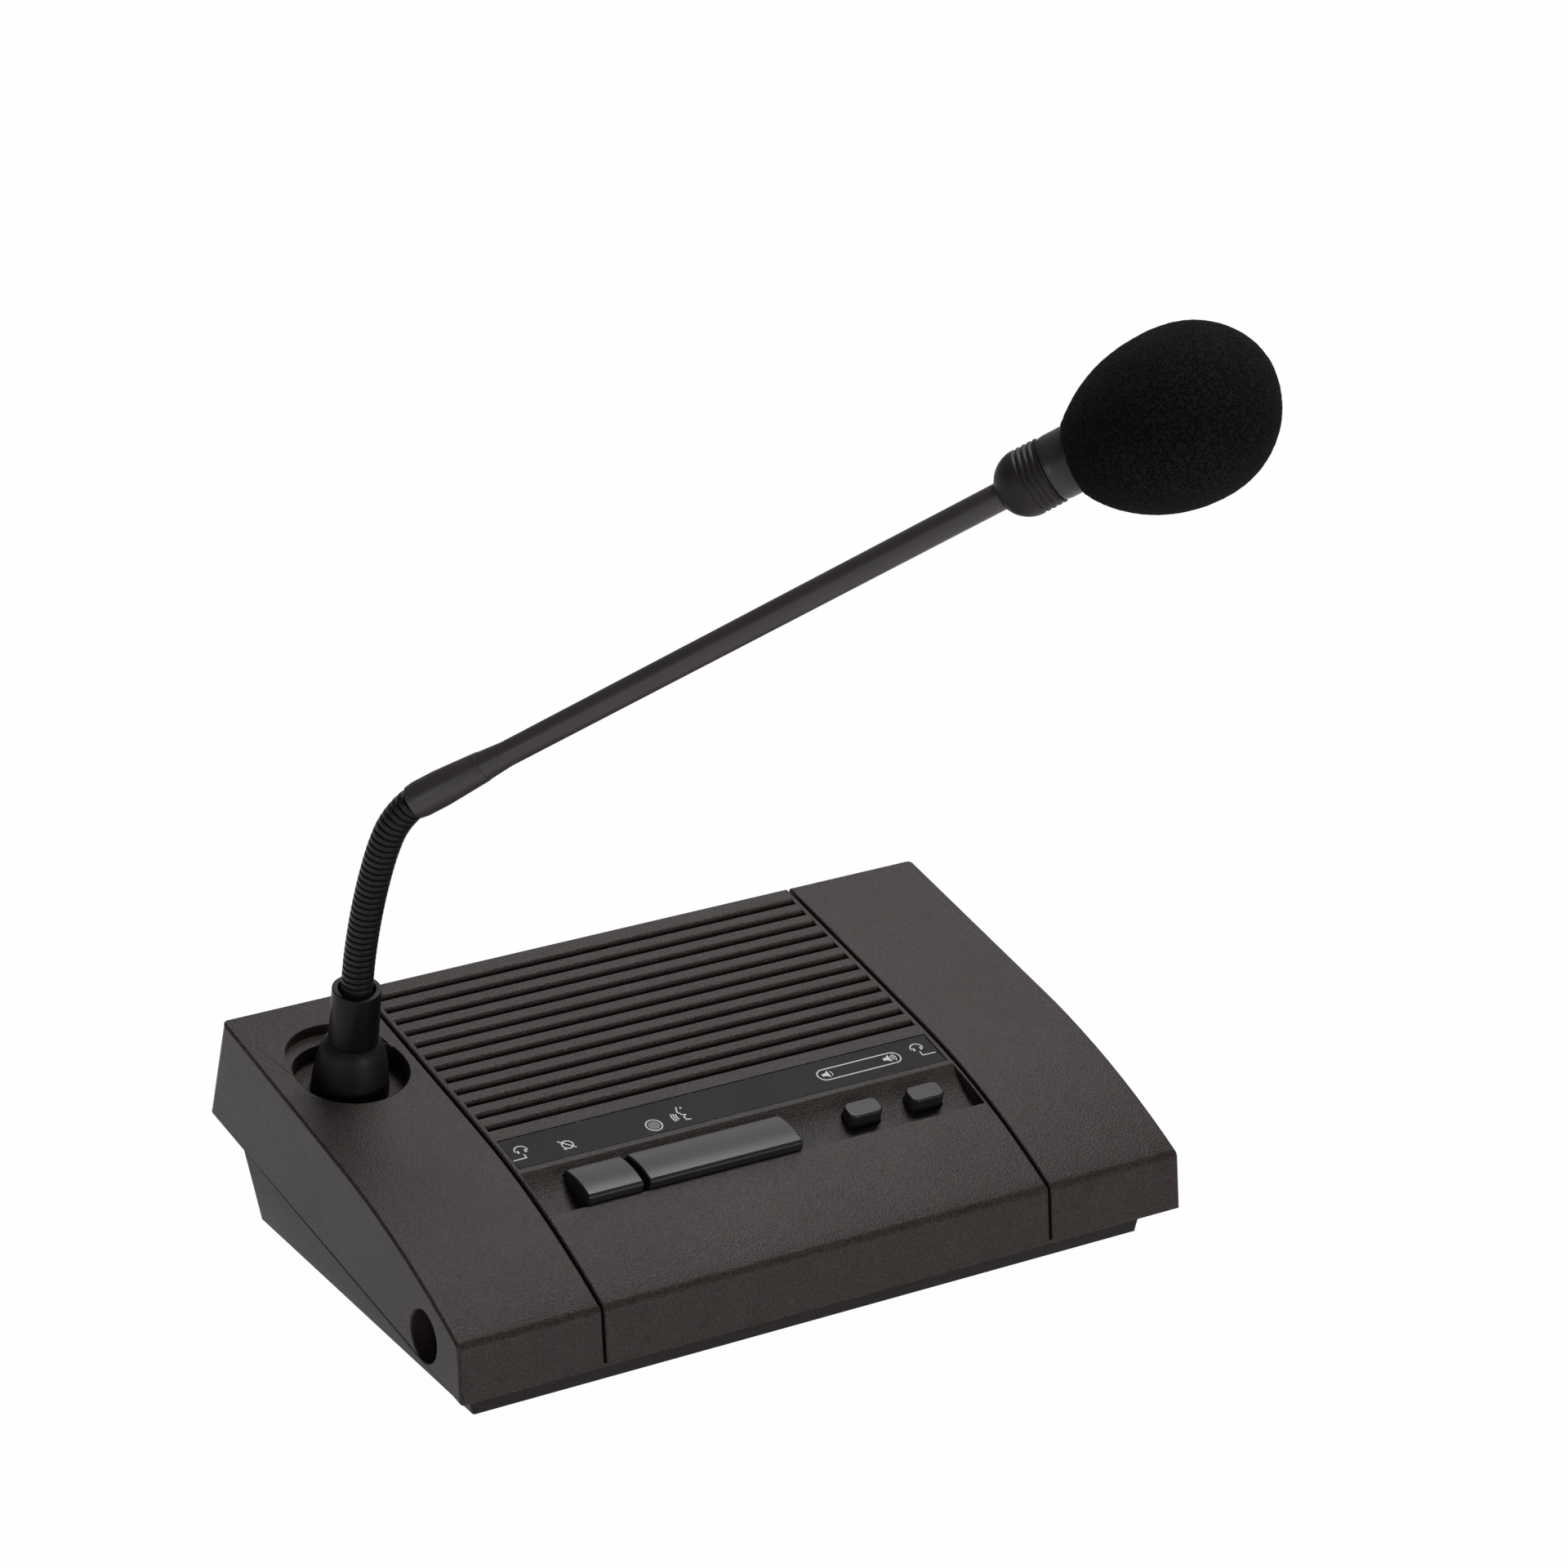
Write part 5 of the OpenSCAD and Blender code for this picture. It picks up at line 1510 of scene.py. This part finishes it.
@dataclass
class NeckSeat:
    """The rubber bell and the black collar that carry the neck; heights are over the cover.

    Fields:
        well_depth: How deep the bell stands in the cover's well.
        bell_r, bell_top_r, bell_top: Radii of the bell at its foot and top, and its height.
        dome, turns: How full the bell's dome is, and its number of steps.
        bell_inner_r, bell_inner: Radius and top of the hollow in the bell's foot.
        collar_r, collar_top_r, collar_top: Radii of the collar at its foot and top, and its height.
        cup_r, cup_depth: Radius and depth of the cup that takes the neck.
        bore: Radius of the hole through both.
        foot, lip: Roundings of the collar's foot and of its lip.
    """

    well_depth: float = 6.0 * MM
    bell_r: float = 9.85 * MM
    bell_top_r: float = 6.4 * MM
    bell_top: float = 9.0 * MM
    bell_inner_r: float = 8.1 * MM
    bell_inner: float = -3.9 * MM
    collar_r: float = 6.3 * MM
    collar_top_r: float = 6.15 * MM
    collar_top: float = 24.3 * MM
    cup_r: float = 4.65 * MM
    cup_depth: float = 5 * MM
    bore: float = 4.5 * MM
    foot: float = 0.25 * MM
    lip: float = 0.3 * MM
    dome: float = 1.4
    turns: int = 18

    def bell(self) -> list[Point2]:
        """Is the outline of the bell: a dome that draws in under the collar.

        Returns:
            Its points as (radius, height).
        """
        height = self.bell_top + self.well_depth
        dome = []
        for step in range(self.turns + 1):
            share = step / self.turns
            radius = self.bell_top_r + (self.bell_r - self.bell_top_r) * math.sqrt(1 - share**2)
            dome.append((radius, height * share**self.dome - self.well_depth))
        return [
            *dome,
            (self.bore, self.bell_top),
            (self.bore, self.bell_inner),
            (self.bell_inner_r, self.bell_inner),
            (self.bell_inner_r, -self.well_depth),
        ]

    def collar(self) -> list[Point2]:
        """Is the outline of the collar, with a soft lip and an open cup for the neck.

        Returns:
            Its points as (radius, height).
        """
        return rounded([
            (self.bore, self.bell_top, 0),
            (self.collar_r, self.bell_top, self.foot),
            (self.collar_top_r, self.collar_top, self.lip),
            (self.cup_r, self.collar_top, self.lip),
            (self.cup_r, self.collar_top - self.cup_depth, 0),
            (self.bore, self.collar_top - self.cup_depth, 0),
        ])

    def build(self) -> None:
        """Builds the bell and the collar."""
        at = LINE.at_collar()
        add_piece("bell", lathe(self.bell(), at), RUBBER, Body.BASE, ["bell_boot"])
        add_piece("collar", lathe(self.collar(), at), BLACK_METAL, Body.BASE, ["neck_collar"])


@dataclass
class FlexNeck:
    """The ribbed neck: lengths from link to link, each bent across one bending point.

    Fields:
        radius: Radius over the ribs.
        pitch: Distance from rib to rib.
        groove, groove_depth: Half width and depth of a groove.
        turning: Where the outline turns beside a groove, in groove halves.
        mouth: Where a groove's rounded edge ends, in groove halves.
        crown: How far a rib's shoulders fall off.
        first: Height of the first bending point over the collar's rim.
        tuck, into_sleeve: How far the neck reaches into the collar and the sleeve.
        links: Number of loose links between the collar and the head.
        around, samples: Number of sides, and of points on a length's middle line.
        hold: Share of a length at each end that doesn't bend.
    """

    radius: float = 4.0 * MM
    pitch: float = 1.72 * MM
    groove: float = 0.2 * MM
    groove_depth: float = 0.5 * MM
    turning: Sequence[float] = (0.5, 1.0, 1.5, 2.4)
    mouth: float = 1.5
    crown: float = 0.08 * MM
    first: float = 5 * MM
    tuck: float = 3.5 * MM
    into_sleeve: float = 2.2 * MM
    links: int = 7
    around: int = 48
    samples: int = 241
    hold: float = 0.08

    def stations(self, length: float) -> list[float]:
        """Are the places along the neck at which its outline turns.

        Args:
            length: Length of the neck.

        Returns:
            Distances from its lower end.
        """
        steps = [halves * self.groove for halves in self.turning]
        marks = []
        for rib in range(math.ceil(length / self.pitch) + 1):
            middle = rib * self.pitch
            marks += [middle, middle + self.pitch / 2]
            marks += [middle + step for step in steps]
            marks += [middle - step for step in steps]
        return sorted(mark for mark in marks if 0 < mark < length)

    def radius_at(self, place: float) -> float:
        """Is the neck's radius at a place along it.

        Args:
            place: Distance from its lower end.

        Returns:
            The radius.
        """
        from_groove = place % self.pitch
        from_groove = min(from_groove, self.pitch - from_groove)
        shoulder = 1 - min(1.0, from_groove / (self.pitch / 2))
        inside = min(1.0, from_groove / (self.mouth * self.groove))
        dip = 1 - inside**2 * (3 - 2 * inside)
        return self.radius - self.groove_depth * dip - self.crown * shoulder**2

    def paths(self) -> list[tuple[Vector, Vector, Vector]]:
        """Are the lengths of the neck, from the collar up.

        Returns:
            Start, bending point and end of each length.
        """
        points = LINE.bending_points()
        along = LINE.at_collar().col[2].to_3d()
        away = LINE.at_head().col[2].to_3d()
        starts = [points[0] - along * (self.first + self.tuck)]
        starts += [(one + two) / 2 for one, two in zip(points, points[1:])]
        ends = starts[1:] + [points[-1] + away * self.into_sleeve]
        return list(zip(starts, points, ends))

    def build(self) -> None:
        """Builds the lengths, each curved round its own bending point."""
        numbers = range(1, self.links + 1)
        bodies = [Body.BASE.value, *[f"neck_{number}" for number in numbers], Body.HEAD.value]
        nodes = ["neck_base", *[f"neck_link_{number}" for number in numbers]]
        hinge = LINE.at_collar().col[1].to_3d()
        paths = self.paths()
        fine = np.linspace(0, 1, self.samples)[:, None]
        curves = []
        for path in paths:
            a, b, c = (np.array(point) for point in path)
            curves.append(a * (1 - fine) ** 2 + 2 * b * fine * (1 - fine) + c * fine**2)
        spans = [np.r_[0, np.cumsum(np.linalg.norm(np.diff(c, axis=0), axis=1))] for c in curves]
        marks = self.stations(sum(span[-1] for span in spans))
        done = 0.0
        for index, (curve, span) in enumerate(zip(curves, spans)):
            inner = [mark - done for mark in marks if done < mark < done + span[-1]]
            mesh = self.tube(curve, span, [0.0, *inner, span[-1]], done, hinge)
            done += span[-1]
            piece = add_piece(f"flex_{index + 1}", mesh, FLEX, None, [nodes[index]])
            start, bend, end = paths[index]
            if index == 0:
                start = bend - (bend - start).normalized() * (end - bend).length
            elif index == len(curves) - 1:
                end = bend + (end - bend).normalized() * (bend - start).length
            reach = end - start
            bodies[index + 1]
            tuple(start + reach * self.hold)
            tuple(end - reach * self.hold)
            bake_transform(piece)

    def tube(
        self,
        curve: np.ndarray,
        span: np.ndarray,
        marks: Sequence[float],
        done: float,
        hinge: Vector,
    ) -> bpy.types.Mesh:
        """Sweeps one length of the neck.

        Args:
            curve: Points of its middle line.
            span: Their distances along it.
            marks: Distances at which it gets a ring.
            done: Length of the neck before it.
            hinge: The direction square to the plane of the bend.

        Returns:
            The closed mesh.
        """
        made = bmesh.new()
        rings = []
        tangents = np.gradient(curve, axis=0)
        for mark in marks:
            middle, ahead = (
                Vector([np.interp(mark, span, along) for along in table.T])
                for table in (curve, tangents)
            )
            side = hinge.cross(ahead.normalized()).normalized()
            radius = float(self.radius_at(done + mark))
            rings.append([
                made.verts.new(middle + radius * (side * x + hinge * y))
                for x, y in circle(self.around)
            ])
        for ring, above in zip(rings, rings[1:]):
            for k in range(self.around):
                after = (k + 1) % self.around
                made.faces.new((ring[k], ring[after], above[after], above[k]))
        made.faces.new(list(reversed(rings[0])))
        made.faces.new(rings[-1])
        bmesh.ops.recalc_face_normals(made, faces=made.faces)
        return finished(made, sharp=SOFT)


@dataclass
class Head:
    """Sleeve, stem, bellows boot and capsule housing; heights are along the stem.

    Fields:
        mouth, mouth_r, mouth_edge: Height, radius and rounding of the sleeve's mouth.
        swell, swell_round: How far over its mouth the sleeve is at its widest, and the rounding.
        bore, bore_depth, bore_edge: Radius, depth and rounding of the hole for the neck.
        sleeve_r, sleeve_straight: Radius of the sleeve, and the height up to which it is straight.
        sleeve_end, sleeve_end_r, taper_round: Height, radius and rounding of its taper.
        seam, joint: Rounding and width of the line between sleeve and stem.
        stem_r, stem_top_r, stem_top: Radii of the stem over its flare and at its top, and its top.
        flare, flare_round: Length and rounding of the stem's flare.
        stem_in: How far the stem reaches into the boot.
        wire_r: Radius of the hole for the wires.
        boot_start, boot_top, boot_r: Length of the boot's rounded start, its top and its radius.
        boot_wall, boot_edge, boot_rise: Wall, bevel and height of the bevel where the boot starts.
        boot_full, boot_steps: How full its rounded start is, and the number of steps.
        boot_ribs, boot_groove, rib_steps: Number, depth and steps of its ribs.
        boot_fit, housing_fit: Clearances inside the boot and the housing.
        housing_r, housing_neck_r, housing_wall: Radii of the housing and its neck, and its wall.
        housing_back, housing_front, seat_back: Its ends, and the place behind the capsule.
        shoulder, shoulder_edge, shoulder_end: Inset, rounding and end of its shoulder.
        rim, rim_inner: Roundings of its front rim.
    """

    mouth: float = 0.9 * MM
    mouth_r: float = 4.25 * MM
    mouth_edge: float = 0.2 * MM
    swell: float = 2.2 * MM
    swell_round: float = 4 * MM
    bore: float = 4.05 * MM
    bore_depth: float = 4 * MM
    bore_edge: float = 0.1 * MM
    sleeve_r: float = 4.55 * MM
    sleeve_straight: float = 9 * MM
    sleeve_end: float = 21 * MM
    sleeve_end_r: float = 3.7 * MM
    taper_round: float = 6 * MM
    seam: float = 0.12 * MM
    joint: float = 0.02 * MM
    stem_r: float = 3.15 * MM
    stem_top_r: float = 3.4 * MM
    stem_top: float = 164.5 * MM
    flare: float = 6.5 * MM
    flare_round: float = 5 * MM
    stem_in: float = 10 * MM
    wire_r: float = 1.6 * MM
    boot_start: float = 7.0 * MM
    boot_top: float = 177.5 * MM
    boot_r: float = 8.2 * MM
    boot_wall: float = 0.9 * MM
    boot_edge: float = 0.4 * MM
    boot_rise: float = 0.3 * MM
    boot_full: float = 0.8
    boot_steps: int = 12
    boot_ribs: int = 4
    boot_groove: float = 0.38 * MM
    rib_steps: int = 10
    boot_fit: float = 0.1 * MM
    housing_fit: float = 0.05 * MM
    housing_r: float = 8 * MM
    housing_neck_r: float = 6.3 * MM
    housing_wall: float = 1.1 * MM
    housing_back: float = 171 * MM
    housing_front: float = 200 * MM
    seat_back: float = 186 * MM
    shoulder: float = 0.3 * MM
    shoulder_edge: float = 0.5 * MM
    shoulder_end: float = 2 * MM
    rim: float = 0.3 * MM
    rim_inner: float = 0.2 * MM

    def sleeve(self) -> list[Point2]:
        """Is the outline of the sleeve: a soft mouth over the neck, and a taper to the stem.

        Returns:
            Its points as (radius, height).
        """
        return rounded([
            (self.wire_r, self.bore_depth, 0),
            (self.bore, self.bore_depth, 0),
            (self.bore, self.mouth, self.bore_edge),
            (self.mouth_r, self.mouth, self.mouth_edge),
            (self.sleeve_r, self.mouth + self.swell, self.swell_round),
            (self.sleeve_r, self.sleeve_straight, self.taper_round),
            (self.sleeve_end_r + self.seam, self.sleeve_end, self.seam),
            (self.wire_r, self.sleeve_end, 0),
        ])

    def stem(self) -> list[Point2]:
        """Is the outline of the stem, flared where it meets the sleeve.

        Returns:
            Its points as (radius, height).
        """
        low = self.sleeve_end + self.joint
        return rounded([
            (self.wire_r, low, 0),
            (self.sleeve_end_r, low, self.seam),
            (self.stem_r, low + self.flare, self.flare_round),
            (self.stem_top_r, self.stem_top + self.stem_in, 0),
            (self.wire_r, self.stem_top + self.stem_in, 0),
        ])

    def boot(self) -> list[Point2]:
        """Is the outline of the bellows boot: a rounded start and soft ribs.

        Returns:
            Its points as (radius, height).
        """
        inner = self.stem_top_r + self.boot_fit
        start_r = self.stem_top_r + self.boot_wall
        points = [(inner, self.stem_top), (start_r - self.boot_edge, self.stem_top)]
        for step in range(self.boot_steps + 1):
            share = step / self.boot_steps
            points.append((
                start_r + (self.boot_r - start_r) * (1 - (1 - share) ** 2) ** self.boot_full,
                self.stem_top + self.boot_rise + (self.boot_start - self.boot_rise) * share,
            ))
        pitch = (self.boot_top - self.stem_top - self.boot_start) / self.boot_ribs
        for step in range(1, self.rib_steps * self.boot_ribs + 1):
            share = step / self.rib_steps
            wave = (0.5 - 0.5 * math.cos(math.tau * share)) ** 2
            height = self.stem_top + self.boot_start + share * pitch
            points.append((self.boot_r - self.boot_groove * wave, height))
        neck = self.housing_neck_r + self.boot_fit
        back = self.housing_back - self.boot_fit
        return [*points, (neck, self.boot_top), (neck, back), (inner, back)]

    def housing(self) -> list[Point2]:
        """Is the outline of the capsule housing, closed behind the capsule.

        Returns:
            Its points as (radius, height).
        """
        inner = self.housing_r - self.housing_wall
        stem = self.stem_top_r + self.housing_fit
        return rounded([
            (stem, self.housing_back, 0),
            (self.housing_neck_r, self.housing_back, 0),
            (self.housing_neck_r, self.boot_top, 0),
            (self.housing_r - self.shoulder, self.boot_top, self.shoulder_edge),
            (self.housing_r, self.boot_top + self.shoulder_end, self.shoulder_end),
            (self.housing_r, self.housing_front, self.rim),
            (inner, self.housing_front, self.rim_inner),
            (inner, self.seat_back, 0),
            (inner - self.housing_wall, self.seat_back, 0),
            (inner - self.housing_wall, self.boot_top, 0),
            (stem, self.boot_top, 0),
        ])

    def build(self) -> None:
        """Builds the four pieces along the stem."""
        at = LINE.at_head()
        for name, outline, finish, node in (
            ("sleeve", self.sleeve(), STEM, "coupling_sleeve"),
            ("stem", self.stem(), STEM, "stem_tube"),
            ("bellows", self.boot(), BELLOWS, "bellows_boot"),
            ("housing", self.housing(), HEAD, "capsule_housing"),
        ):
            add_piece(name, lathe(outline, at), finish, Body.HEAD, [node])


@dataclass
class Windscreen:
    """The foam windscreen: a plump, oval egg that hangs a little on its housing.

    Fields:
        radius, half: Its largest radius and half its length.
        egg, oval: How much it swells towards its far end, and is wider than high.
        middle, pivot: Places of its middle, and of the point it hangs from, along the stem.
        sag, aside: How far it hangs down and turns aside.
        bore, brim, pocket: Radius, brim and end of the hole for the housing.
        lip, lip_out, lip_in: Width, height and depth of the soft lip around the hole.
        lump, lump_size: Height and size of its unevenness.
        pore, pore_size: Height and size of its rough skin.
        rings, pocket_rings, around: Number of rings outside and in the hole, and of sides.
        fill: How tightly it is filled; not used.
    """

    radius: float = 22.43 * MM
    half: float = 26.91 * MM
    egg: float = 0.126
    oval: float = 0.11
    middle: float = 208.07 * MM
    pivot: float = 185.41 * MM
    sag: float = math.radians(3.64)
    aside: float = math.radians(7.71)
    bore: float = 8.35 * MM
    brim: float = 2.0 * MM
    pocket: float = 203 * MM
    lip: float = 0.35 * MM
    lip_out: float = 0.1 * MM
    lip_in: float = 0.4 * MM
    lump: float = 0.25 * MM
    lump_size: float = 14 * MM
    pore: float = 0.10 * MM
    pore_size: float = 1.1 * MM
    rings: int = 110
    pocket_rings: int = 8
    around: int = 180
    fill: float = 0.9

    def outline(self) -> list[Point2]:
        """Is the outline, from the far end round to the mouth and into the pocket.

        Returns:
            Its points as (radius, height).
        """
        start = math.asin((self.bore + self.brim) / (self.radius * (1 - self.egg)))
        points = []
        for step in range(self.rings + 1):
            turn = (math.pi - start) * step / self.rings
            swell = 1 + self.egg * math.cos(turn)
            reach = self.radius * math.sin(turn) * swell
            points.append((reach, self.middle + self.half * math.cos(turn)))
        mouth = points[-1][1]
        points.append((self.bore + self.lip, mouth - self.lip_out))
        points.append((self.bore, mouth + self.lip_in))
        for ring in range(1, self.pocket_rings + 1):
            depth = (self.pocket - mouth) * ring / self.pocket_rings
            points.append((self.bore, mouth + depth))
        return [*points, (0.0, self.pocket)]

    def hang(self, at: Matrix) -> Matrix:
        """Is the turn and stretch that makes the straight, round foam hang and oval.

        Args:
            at: The frame of the stem.

        Returns:
            The change, in the shared frame.
        """
        pivot = Matrix.Translation((0, 0, self.pivot))
        turn = pivot @ Matrix.Rotation(self.aside, 4, "X") @ Matrix.Rotation(self.sag, 4, "Y")
        oval = Matrix.Diagonal((1 - self.oval, 1 + self.oval, 1, 1))
        return at @ (turn @ oval) @ Matrix.Translation((0, 0, -self.pivot)) @ at.inverted()

    def build(self) -> None:
        """Builds the foam, rough all over."""
        at = LINE.at_head()
        mesh = lathe(self.outline(), at, self.around, SOFT)
        normals = [vertex.normal.copy() for vertex in mesh.vertices]
        axis, foot = at.col[2].to_3d(), at.translation
        hang = self.hang(at)
        for vertex, normal in zip(mesh.vertices, normals):
            along = (vertex.co - foot).dot(axis)
            out = (vertex.co - foot - axis * along).length
            if out < self.bore + self.brim / 4 and along < self.pocket + UM:
                continue
            rough = self.lump * noise.noise(vertex.co / self.lump_size)
            rough += self.pore * noise.noise(vertex.co / self.pore_size)
            vertex.co = hang @ (vertex.co + normal * rough)
        piece = add_piece("windscreen_foam", mesh, FOAM, Body.WINDSCREEN, ["foam_windscreen"])


@dataclass
class Studio:
    """The camera at the photograph's place, a pale floor and soft light.

    Fields:
        azimuth, elevation, roll, distance, target: Place of the camera; angles in degrees.
        view_angle: Width of the view, in degrees.
        picture: Side of the square picture, in pixels.
        axis_at: Where the lens axis meets the picture.
        clip: The nearest and the farthest that the camera sees.
        ambient: Light from all round.
        floor_size, floor_cells: Size of the floor, and its cells along a side.
        floor_colour, floor_roughness, floor_glow: Its paper, and how much of it is plain white.
        lamps: Place, width and power of each lamp.
        aim: What the lamps face.
    """

    azimuth: float = -31.137
    elevation: float = 23.013
    roll: float = 0.715
    distance: float = 1.576139
    target: tuple[float, float, float] = (0.132136, 0.171584, 0.0312)
    view_angle: float = 16.342
    picture: float = 1920.0
    axis_at: Point2 = (972.41, 958.0)
    clip: Point2 = (0.05, 100.0)
    ambient: float = 0.12
    floor_size: float = 30.0
    floor_cells: int = 4
    floor_colour: Colour = (0.95, 0.95, 0.95)
    floor_roughness: float = 0.5
    floor_glow: float = 0.985
    aim: tuple[float, float, float] = (0.0, 0.0, 0.04)
    lamps: Mapping[str, tuple[Sequence[float], float, float]] = field(default_factory=lambda: {
        "softbox": ((1.0, 1.36, 1.25), 1.7, 10.5),
        "overhead": ((0.4, 0.2, 1.2), 0.45, 8.8),
        "left": ((-1.35, -0.6, 0.28), 0.5, 2.2),
        "front": ((0.3, -1.7, 0.12), 0.5, 12.5),
    })

    def camera(self) -> None:
        """Puts the camera at the photograph's place."""
        turn, rise, roll = (math.radians(v) for v in (self.azimuth, self.elevation, self.roll))
        back = Vector((
            math.sin(turn) * math.cos(rise), -math.cos(turn) * math.cos(rise), math.sin(rise)
        ))
        right = Vector((math.cos(turn), math.sin(turn), 0))
        up = back.cross(right)
        right, up = (
            right * math.cos(roll) + up * math.sin(roll),
            up * math.cos(roll) - right * math.sin(roll),
        )
        lens = bpy.data.cameras.new("camera")
        lens.sensor_fit = "HORIZONTAL"
        lens.lens_unit = "FOV"
        lens.angle = math.radians(self.view_angle)
        lens.shift_x = (self.picture / 2 - self.axis_at[0]) / self.picture
        lens.shift_y = (self.axis_at[1] - self.picture / 2) / self.picture
        lens.clip_start, lens.clip_end = self.clip
        camera = bpy.data.objects.new("camera", lens)
        spot = Matrix((right, up, back)).transposed().to_4x4()
        spot.translation = Vector(self.target) + back * self.distance
        camera.matrix_world = spot
        bpy.context.scene.collection.objects.link(camera)
        bpy.context.scene.camera = camera

    @staticmethod
    def seen(bench: Bench) -> Wire:
        """Is 1 for what is looked at, mirrored or seen through, and 0 for plain light.

        Args:
            bench: The tree to build in.

        Returns:
            The wire of that 1 or 0.
        """
        looked, mirrored, through = (
            bench.add("ShaderNodeLightPath", out=f"Is {kind} Ray")
            for kind in ("Camera", "Glossy", "Transmission")
        )
        return looked.most(mirrored).most(through)

    def surroundings(self) -> None:
        """Makes the world: an even, pale grey room."""
        world = bpy.data.worlds.new("studio")
        world.use_nodes = True
        bpy.context.scene.world = world
        bench = Bench(world.node_tree)
        room = bench.add(
            "ShaderNodeBackground", {}, {"Color": (1, 1, 1, 1), "Strength": self.ambient}
        )
        bench.add("ShaderNodeOutputWorld", {}, {"Surface": room})

    def floor(self) -> None:
        """Lays the pale floor, which keeps the part's shadow."""
        made = bmesh.new()
        cells = self.floor_cells
        bmesh.ops.create_grid(made, x_segments=cells, y_segments=cells, size=self.floor_size / 2)
        piece = bpy.data.objects.new("floor", finished(made))
        bpy.context.scene.collection.objects.link(piece)
        material = bpy.data.materials.new("floor_paper")
        material.use_nodes = True
        bench = Bench(material.node_tree)
        paper = bench.add(
            "ShaderNodeBsdfDiffuse",
            {},
            {"Color": (*self.floor_colour, 1.0), "Roughness": self.floor_roughness},
        )
        white = bench.add("ShaderNodeEmission", {}, {"Color": (1, 1, 1, 1), "Strength": 1.0})
        share = self.seen(bench) * self.floor_glow
        both = bench.add("ShaderNodeMixShader", {}, {0: share, 1: paper, 2: white})
        bench.add("ShaderNodeOutputMaterial", {}, {"Surface": both})
        piece.data.materials.append(material)

    def lights(self) -> None:
        """Hangs the soft lamps, which all face the part."""
        aim = Vector(self.aim)
        for name, (spot, size, power) in self.lamps.items():
            lamp = bpy.data.lights.new(name, "AREA")
            lamp.shape = "DISK"
            lamp.size = size
            lamp.energy = power
            holder = bpy.data.objects.new(name, lamp)
            holder.location = spot
            holder.rotation_mode = "QUATERNION"
            holder.rotation_quaternion = (aim - Vector(spot)).to_track_quat("-Z", "Y")
            bpy.context.scene.collection.objects.link(holder)

    def build(self) -> None:
        """Sets up camera, world, floor and lamps."""
        bpy.context.scene.view_settings.view_transform = "Standard"
        self.camera()
        self.surroundings()
        self.floor()
        self.lights()
        log.info("studio: %d lamps", len(self.lamps))


def main() -> None:
    """Builds the part, sub-assembly by sub-assembly, and its studio."""
    logging.basicConfig(level=logging.INFO, format="%(name)s %(message)s")
    Studio().build()
    for assembly in (
        Case(), Innards(), KeyBank(), LabelStrip(), NeckSeat(), FlexNeck(), Head(), Windscreen()
    ):
        assembly.build()


if __name__ == "__main__":
    main()
